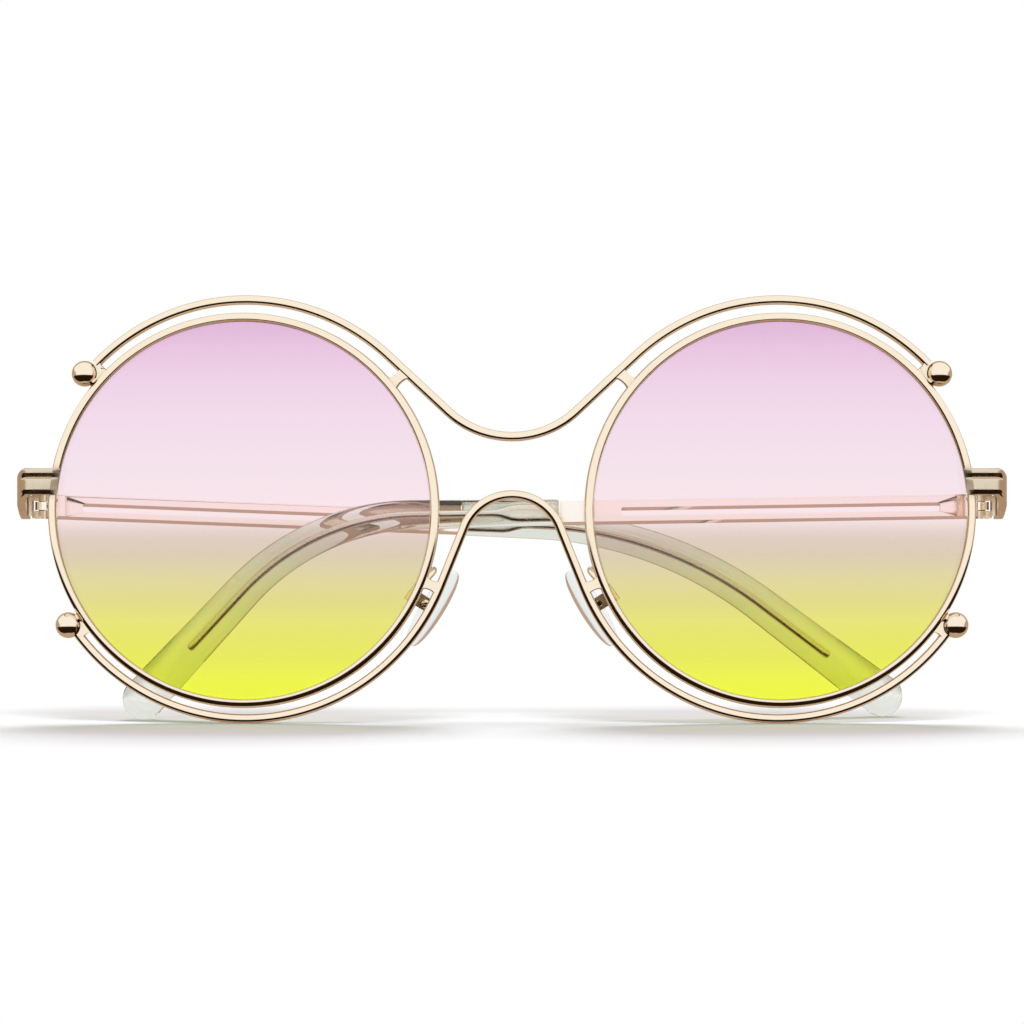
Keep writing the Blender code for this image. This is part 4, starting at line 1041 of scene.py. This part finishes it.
def tip_length(side):
    """Length of the middle line, chosen so that the round end just touches the ground."""
    bend, droop = bend_angle[side], droop_angle[side]
    reach = BAR_LENGTH + tip_straight[side] + bend_radius[side] * sin(bend)
    drop = bend_radius[side] * (1 - cos(bend))
    height = HINGE_AT[side].z - reach * sin(droop) - drop * cos(droop)
    rest = (height - TIP_END_HEIGHT / 2) / sin(bend + droop)
    return tip_straight[side] + bend_radius[side] * bend + rest


def tip_point(side, along):
    bend, radius, straight = bend_angle[side], bend_radius[side], tip_straight[side]
    slope = max(0.0, min(bend, (along - straight) / radius))
    rest = max(0.0, along - straight - radius * bend)
    x = BAR_LENGTH + min(along, straight) + radius * sin(slope) + rest * cos(slope)
    y = BAR_MIDDLE - TIP_INWARD * (max(0.0, along) / tip_length(side)) ** 2
    z = -radius * (1 - cos(slope)) - rest * sin(slope)
    return Vector((x, y, z)), slope


def tip_ring(side, along, half_thickness, half_height, roundness=TIP_ROUNDNESS):
    at, slope = tip_point(side, along)
    up = Vector((sin(slope), 0.0, cos(slope)))
    ring = []
    for n, z in oval(half_thickness, half_height, roundness, TIP_SIDES):
        point = at + Vector((0.0, n, 0.0)) + up * z
        point.x *= -side
        ring.append(temple_axes[side] @ point)
    return ring


for side, tag in SIDES.items():
    print("tip", tag, round(tip_length(side) / MM, 1), "mm")

# %% Tips and cores
TIP_START_HEIGHT = 4.00 * MM
TIP_THICKNESS = 2.60 * MM
TIP_STEP = 1.50 * MM
TIP_GROWTH = 1.3
# The two rings at the mouth: place in brazes, and shares of the half thickness and of the height
MOUTH_SHARES = ((1, 0.80, 0.44), (2, 0.93, 0.48))
DOME_ANGLE = radians(80)
DOME_RINGS = 11
CORE_PADDLE = 6.50 * MM
CORE_TAPER = 3.50 * MM
CORE_HEIGHT = 2.40 * MM
CORE_THICKNESS = 0.80 * MM
CORE_WIRE = 1.10 * MM
CORE_STOP = 10.50 * MM
PADDLE_ROUNDNESS = 4.0
PADDLE_MOUTH = 0.9


def make_tip(side, tag):
    length = tip_length(side)
    half = TIP_THICKNESS / 2
    rings = [tip_ring(side, BRAZE * step, half * thick, TIP_START_HEIGHT * high)
             for step, thick, high in MOUTH_SHARES]
    for along in spaced(BRAZE * 4, length, TIP_STEP):
        height = between(TIP_START_HEIGHT, TIP_END_HEIGHT, (along / length) ** TIP_GROWTH)
        rings.append(tip_ring(side, along, half, height / 2))
    for angle in evenly(0, DOME_ANGLE, DOME_RINGS)[1:]:
        along = length + sin(angle) * TIP_END_HEIGHT / 2
        thick = half * sqrt(cos(angle))
        rings.append(tip_ring(side, along, thick, TIP_END_HEIGHT / 2 * cos(angle)))
    add_piece("temple_tip_" + tag, "_clear", loft(rings), clear_tip, "temple_" + tag)


def make_core(side, tag):
    rings = [tip_ring(side, BRAZE, CORE_THICKNESS / 2, CORE_HEIGHT / 2 * PADDLE_MOUTH, PADDLE_ROUNDNESS)]
    stop = tip_length(side) - CORE_STOP
    for along in spaced(BRAZE * 3, stop, MM):
        share = max(0.0, min(1.0, (along - CORE_PADDLE) / CORE_TAPER))
        ease = share * share * (3 - 2 * share)
        thick = between(CORE_THICKNESS, CORE_WIRE, ease)
        high = between(CORE_HEIGHT, CORE_WIRE, ease)
        rings.append(tip_ring(side, along, thick / 2, high / 2, between(PADDLE_ROUNDNESS, 2.0, ease)))
    rings.append(tip_ring(side, stop + CORE_WIRE / 4, CORE_WIRE / 3, CORE_WIRE / 3, 2.0))
    add_piece("tip_core_" + tag, "_drawn", loft(rings), core_silver, "temple_" + tag)


for side, tag in SIDES.items():
    make_tip(side, tag)
    make_core(side, tag)
print("tips and cores: 2 of each")

# %% [markdown]
# ## Nose pads and their arms
# A pad is a soft clear drop with a lug behind it, held by a tiny screw in a metal box so that it can
# rock. Its arm is a bent wire from the back of the rim. The pad's own axes sit at its screw: X down
# its length and Z out of its face, leaned with the side of the nose and splayed to the back.

# %% Pads
PAD_LENGTH = 13.00 * MM
PAD_WIDTH = 7.00 * MM
PAD_THICKNESS = 2.20 * MM
PAD_X = 11.90 * MM
PAD_DEPTH = 9.50 * MM
PAD_DROP = 14.60 * MM
PAD_LEAN = radians(32.0)
PAD_SPLAY = radians(25.0)
PAD_STAND = 2.10 * MM
LUG_LENGTH = 2.00 * MM
LUG_WIDTH = 1.60 * MM
LUG_BACK = 0.80 * MM
RUNNING = 0.14 * MM
BOX_WALL = 0.40 * MM
PAD_SCREW = (0.40 * MM, 0.65 * MM, 0.35 * MM)
PAD_SECTIONS = 22
PAD_SIDES = 32
PAD_CAP = 0.35
WIDTH_POWER = 0.85
THICKNESS_POWER = 0.5


def pad_axes(side):
    along = Vector((sin(PAD_LEAN) * side, 0.0, -cos(PAD_LEAN)))
    inward = Vector((-cos(PAD_LEAN) * side, 0.0, -sin(PAD_LEAN)))
    face = inward * cos(PAD_SPLAY) + Vector((0.0, 1.0, 0.0)) * sin(PAD_SPLAY)
    centre = Vector((PAD_X * side, PAD_DEPTH + FRONT_Y, LENS_Z - PAD_DROP))
    turn = Matrix((along, face.cross(along), face)).transposed().to_4x4()
    return Matrix.Translation(centre - face * PAD_STAND) @ turn


def make_pad(side, tag):
    axes = pad_axes(side)
    rings = []
    for i in range(PAD_SECTIONS):
        angle = pi * (i + PAD_CAP) / (PAD_SECTIONS - 1 + 2 * PAD_CAP)
        swell = sin(angle)
        wide = PAD_WIDTH / 2 * swell ** WIDTH_POWER
        thick = PAD_THICKNESS / 2 * swell ** THICKNESS_POWER
        at = -cos(angle) * PAD_LENGTH / 2
        rings.append([axes @ Vector((at, y, PAD_STAND + z)) for y, z in oval(wide, thick, count=PAD_SIDES)])
    pad = add_piece("nose_pad_" + tag, "_clear", loft(rings), clear_pad, "pad_" + tag)
    half = LUG_LENGTH / 2
    lug = block_mesh((-half, -LUG_WIDTH / 2, -LUG_BACK), (half, LUG_WIDTH / 2, PAD_STAND), axes)
    carve(pad, lug, "UNION")
    outer = LUG_WIDTH / 2 + RUNNING + BOX_WALL
    start = axes @ Vector((0.0, -outer - BRAZE, 0.0))
    slotted_screw("pad_screw_" + tag, start, axes @ Vector((0.0, outer, 0.0)), *PAD_SCREW)


print("pad screw at", [round(v / MM, 1) for v in pad_axes(1).translation], "mm")

# %% Pad arms
ARM_RADIUS = 0.45 * MM
ARM_ANGLE = radians(-22.0)
ARM_FOOT = 0.60 * MM
ARM_INWARD = 3.50 * MM
ARM_RISE = 3.00 * MM
ARM_SWEEP = 5.00 * MM
ARM_RETURN = 6.40 * MM
ARM_STEPS = 40


def make_arm(side, tag):
    axes = pad_axes(side)
    rim_axes = spoke(side, ARM_ANGLE, False)
    reach = RIM_INNER + RIM_WIDTH / 2
    start = rim_axes @ Vector((reach, RIM_DEPTH / 2 - BRAZE, 0.0))
    foot = rim_axes @ Vector((reach, RIM_DEPTH / 2 + ARM_FOOT, 0.0))
    back = hypot(LUG_LENGTH / 2, LUG_BACK) + RUNNING + BOX_WALL
    end = axes @ Vector((LUG_LENGTH / 2, 0.0, -back - ARM_RADIUS))
    leave = foot + Vector((-side * ARM_INWARD, ARM_SWEEP, ARM_RISE))
    arrive = end - axes.to_3x3() @ Vector((ARM_RETURN, 0.0, 0.0))
    line = [start]
    for t in evenly(0, 1, ARM_STEPS):
        s = 1 - t
        line.append(foot * s ** 3 + leave * (3 * s * s * t) + arrive * (3 * s * t * t) + end * t ** 3)
    add_piece("pad_arm_" + tag, "_bent", wire_mesh(line, ARM_RADIUS))


for side, tag in SIDES.items():
    make_pad(side, tag)
    make_arm(side, tag)
print("pads:", round(PAD_LENGTH / MM, 1), "mm long")

# %% [markdown]
# ## Studio
# The glasses stand on a white sweep. The floor is plain paper near them, to keep their soft shadow,
# and fades to pure white further off. Polished metal shows its surroundings more than its own
# colour, so mirrored rays see what a product photographer builds: a white front, a dark flag low in
# front and warm grey sides. Rays that left the floor see a dim sky, or the lenses would paint bright
# patches on it.

# %% Floor
FLOOR_HALF = 3.0
PAPER = (0.94, 0.94, 0.94)
FADE_EDGES = (0.10, 0.30)


def make_floor():
    shape = bmesh.new()
    bmesh.ops.create_grid(shape, x_segments=1, y_segments=1, size=FLOOR_HALF)
    floor = new_object("floor", to_mesh(shape))
    paper, tree, shader = new_material("white_paper")
    tree.nodes.remove(shader)
    matte = add_node(tree, "ShaderNodeBsdfDiffuse", {"Color": PAPER})
    distance = add_node(tree, "ShaderNodeVectorMath", {0: own_axes(tree)})
    distance.operation = "LENGTH"
    far = soft_mask(tree, distance.outputs["Value"], FADE_EDGES)
    blend = mix_shaders(tree, far, matte, tree.nodes.new("ShaderNodeEmission"))
    set_inputs(tree, tree.nodes["Material Output"], {"Surface": blend.outputs[0]})
    floor.data.materials.append(paper)
    floor.visible_glossy = False


make_floor()
print("floor: pure white past", FADE_EDGES[1], "m")

# %% Sky with flags
FRONT_WHITE = (1.0, 1.0, 1.0)
WARM_GREY = (0.52, 0.38, 0.29)
FLAG = (0.020, 0.009, 0.003)
# The white card ends between WHITE_EDGE as seen sideways, and UP_REACH further back overhead
WHITE_EDGE = (0.12, 0.30)
UP_EDGE = (0.05, 0.50)
UP_REACH = 0.75
# The flag begins this far below the horizon and ends this far round to the back, further at its sides
FLAG_TOP = (0.12, 0.22)
FLAG_BACK = (0.20, 0.32)
FLAG_WINGS = 0.85
CLEAR_FROM = (-0.75, -0.45)
SOFT_LIGHT = 0.12
# A little more than 1, so that the root below is never of zero
WHOLE = 1.0001


def make_sky():
    world = bpy.data.worlds.new("studio_sky")
    bpy.context.scene.world = world
    world.use_nodes = True
    tree = world.node_tree
    place = tree.nodes.new("ShaderNodeTexCoord").outputs["Generated"]
    parts = add_node(tree, "ShaderNodeSeparateXYZ", {0: place}).outputs
    light = tree.nodes.new("ShaderNodeLightPath").outputs

    def times(first, second):
        return maths(tree, "MULTIPLY", first, second)

    toward = times(parts["Y"], -1.0)
    down = times(parts["Z"], -1.0)
    off_axis = maths(tree, "SQRT", maths(tree, "SUBTRACT", WHOLE, times(toward, toward)), 0.0)
    upness = soft_mask(tree, maths(tree, "DIVIDE", parts["Z"], off_axis), UP_EDGE)
    white = soft_mask(tree, maths(tree, "ADD", toward, times(upness, UP_REACH)), WHITE_EDGE)
    wings = maths(tree, "ADD", toward, times(times(parts["X"], parts["X"]), FLAG_WINGS))
    flag = times(soft_mask(tree, down, FLAG_TOP), soft_mask(tree, wings, FLAG_BACK))
    studio = mix_colours(tree, flag, mix_colours(tree, white, WARM_GREY, FRONT_WHITE), FLAG)
    behind = maths(tree, "SUBTRACT", 1.0, soft_mask(tree, toward, CLEAR_FROM))
    clear = times(light["Is Transmission Ray"], behind)
    seen = times(light["Is Glossy Ray"], maths(tree, "SUBTRACT", 1.0, clear))
    mirrored = maths(tree, "MAXIMUM", light["Is Glossy Ray"], light["Is Transmission Ray"])
    bright = maths(tree, "MAXIMUM", light["Is Camera Ray"], mirrored)
    shown = times(bright, maths(tree, "LESS_THAN", light["Diffuse Depth"], 0.5))
    strength = map_range(tree, shown, target=(SOFT_LIGHT, 1.0))
    colour = mix_colours(tree, seen, FRONT_WHITE, studio)
    set_inputs(tree, tree.nodes["Background"], {"Color": colour, "Strength": strength})


make_sky()
print("sky: white front, warm grey sides and a dark flag")

# %% Lamps
# Place, size and power of each softbox; both are so wide that shadows are deep only at the ground
SOFTBOXES = {"back_softbox": (Vector((0.06, 0.90, 1.20)), 0.70, 18.2),
             "front_softbox": (Vector((0.10, -1.00, 1.15)), 0.60, 12.6)}


def make_lamp(name, place, size, power):
    data = bpy.data.lights.new(name, "AREA")
    data.energy = power
    data.size = size
    lamp = new_object(name, data)
    lamp.location = place
    lamp.rotation_mode = "QUATERNION"
    lamp.rotation_quaternion = (-place).to_track_quat("-Z", "Y")
    lamp.visible_glossy = False
    lamp.visible_camera = False
    lamp.visible_transmission = False


for name, values in SOFTBOXES.items():
    make_lamp(name, *values)
print("studio lamps:", len(SOFTBOXES), "softboxes")

# %% [markdown]
# ## Camera
# The photograph was taken with a long lens, at 6.77 pixels to a millimetre. That scale and the
# distance give the focal length. The camera could stand a little low, as the photographer's did, but
# looks straight at the front, so that the lenses are true circles.

# %% Camera
PIXELS = 1024
PIXELS_PER_METRE = 6.77 / MM
DISTANCE = 0.65
FRONT_FACE = -0.0135
MIDDLE_Z = 0.0314
SENSOR = 36.0
CLIP = (0.01, 20.0)


def make_camera():
    data = bpy.data.cameras.new("front_camera")
    data.sensor_width = SENSOR
    data.lens = SENSOR * DISTANCE * PIXELS_PER_METRE / PIXELS
    data.clip_start, data.clip_end = CLIP
    camera = new_object("front_camera", data)
    camera.location = (0.0, FRONT_FACE - DISTANCE, MIDDLE_Z)
    camera.rotation_euler = (pi / 2, 0.0, 0.0)
    bpy.context.scene.camera = camera
    print("camera lens", round(data.lens, 1), "mm")


make_camera()
bpy.context.scene.view_settings.view_transform = "Standard"
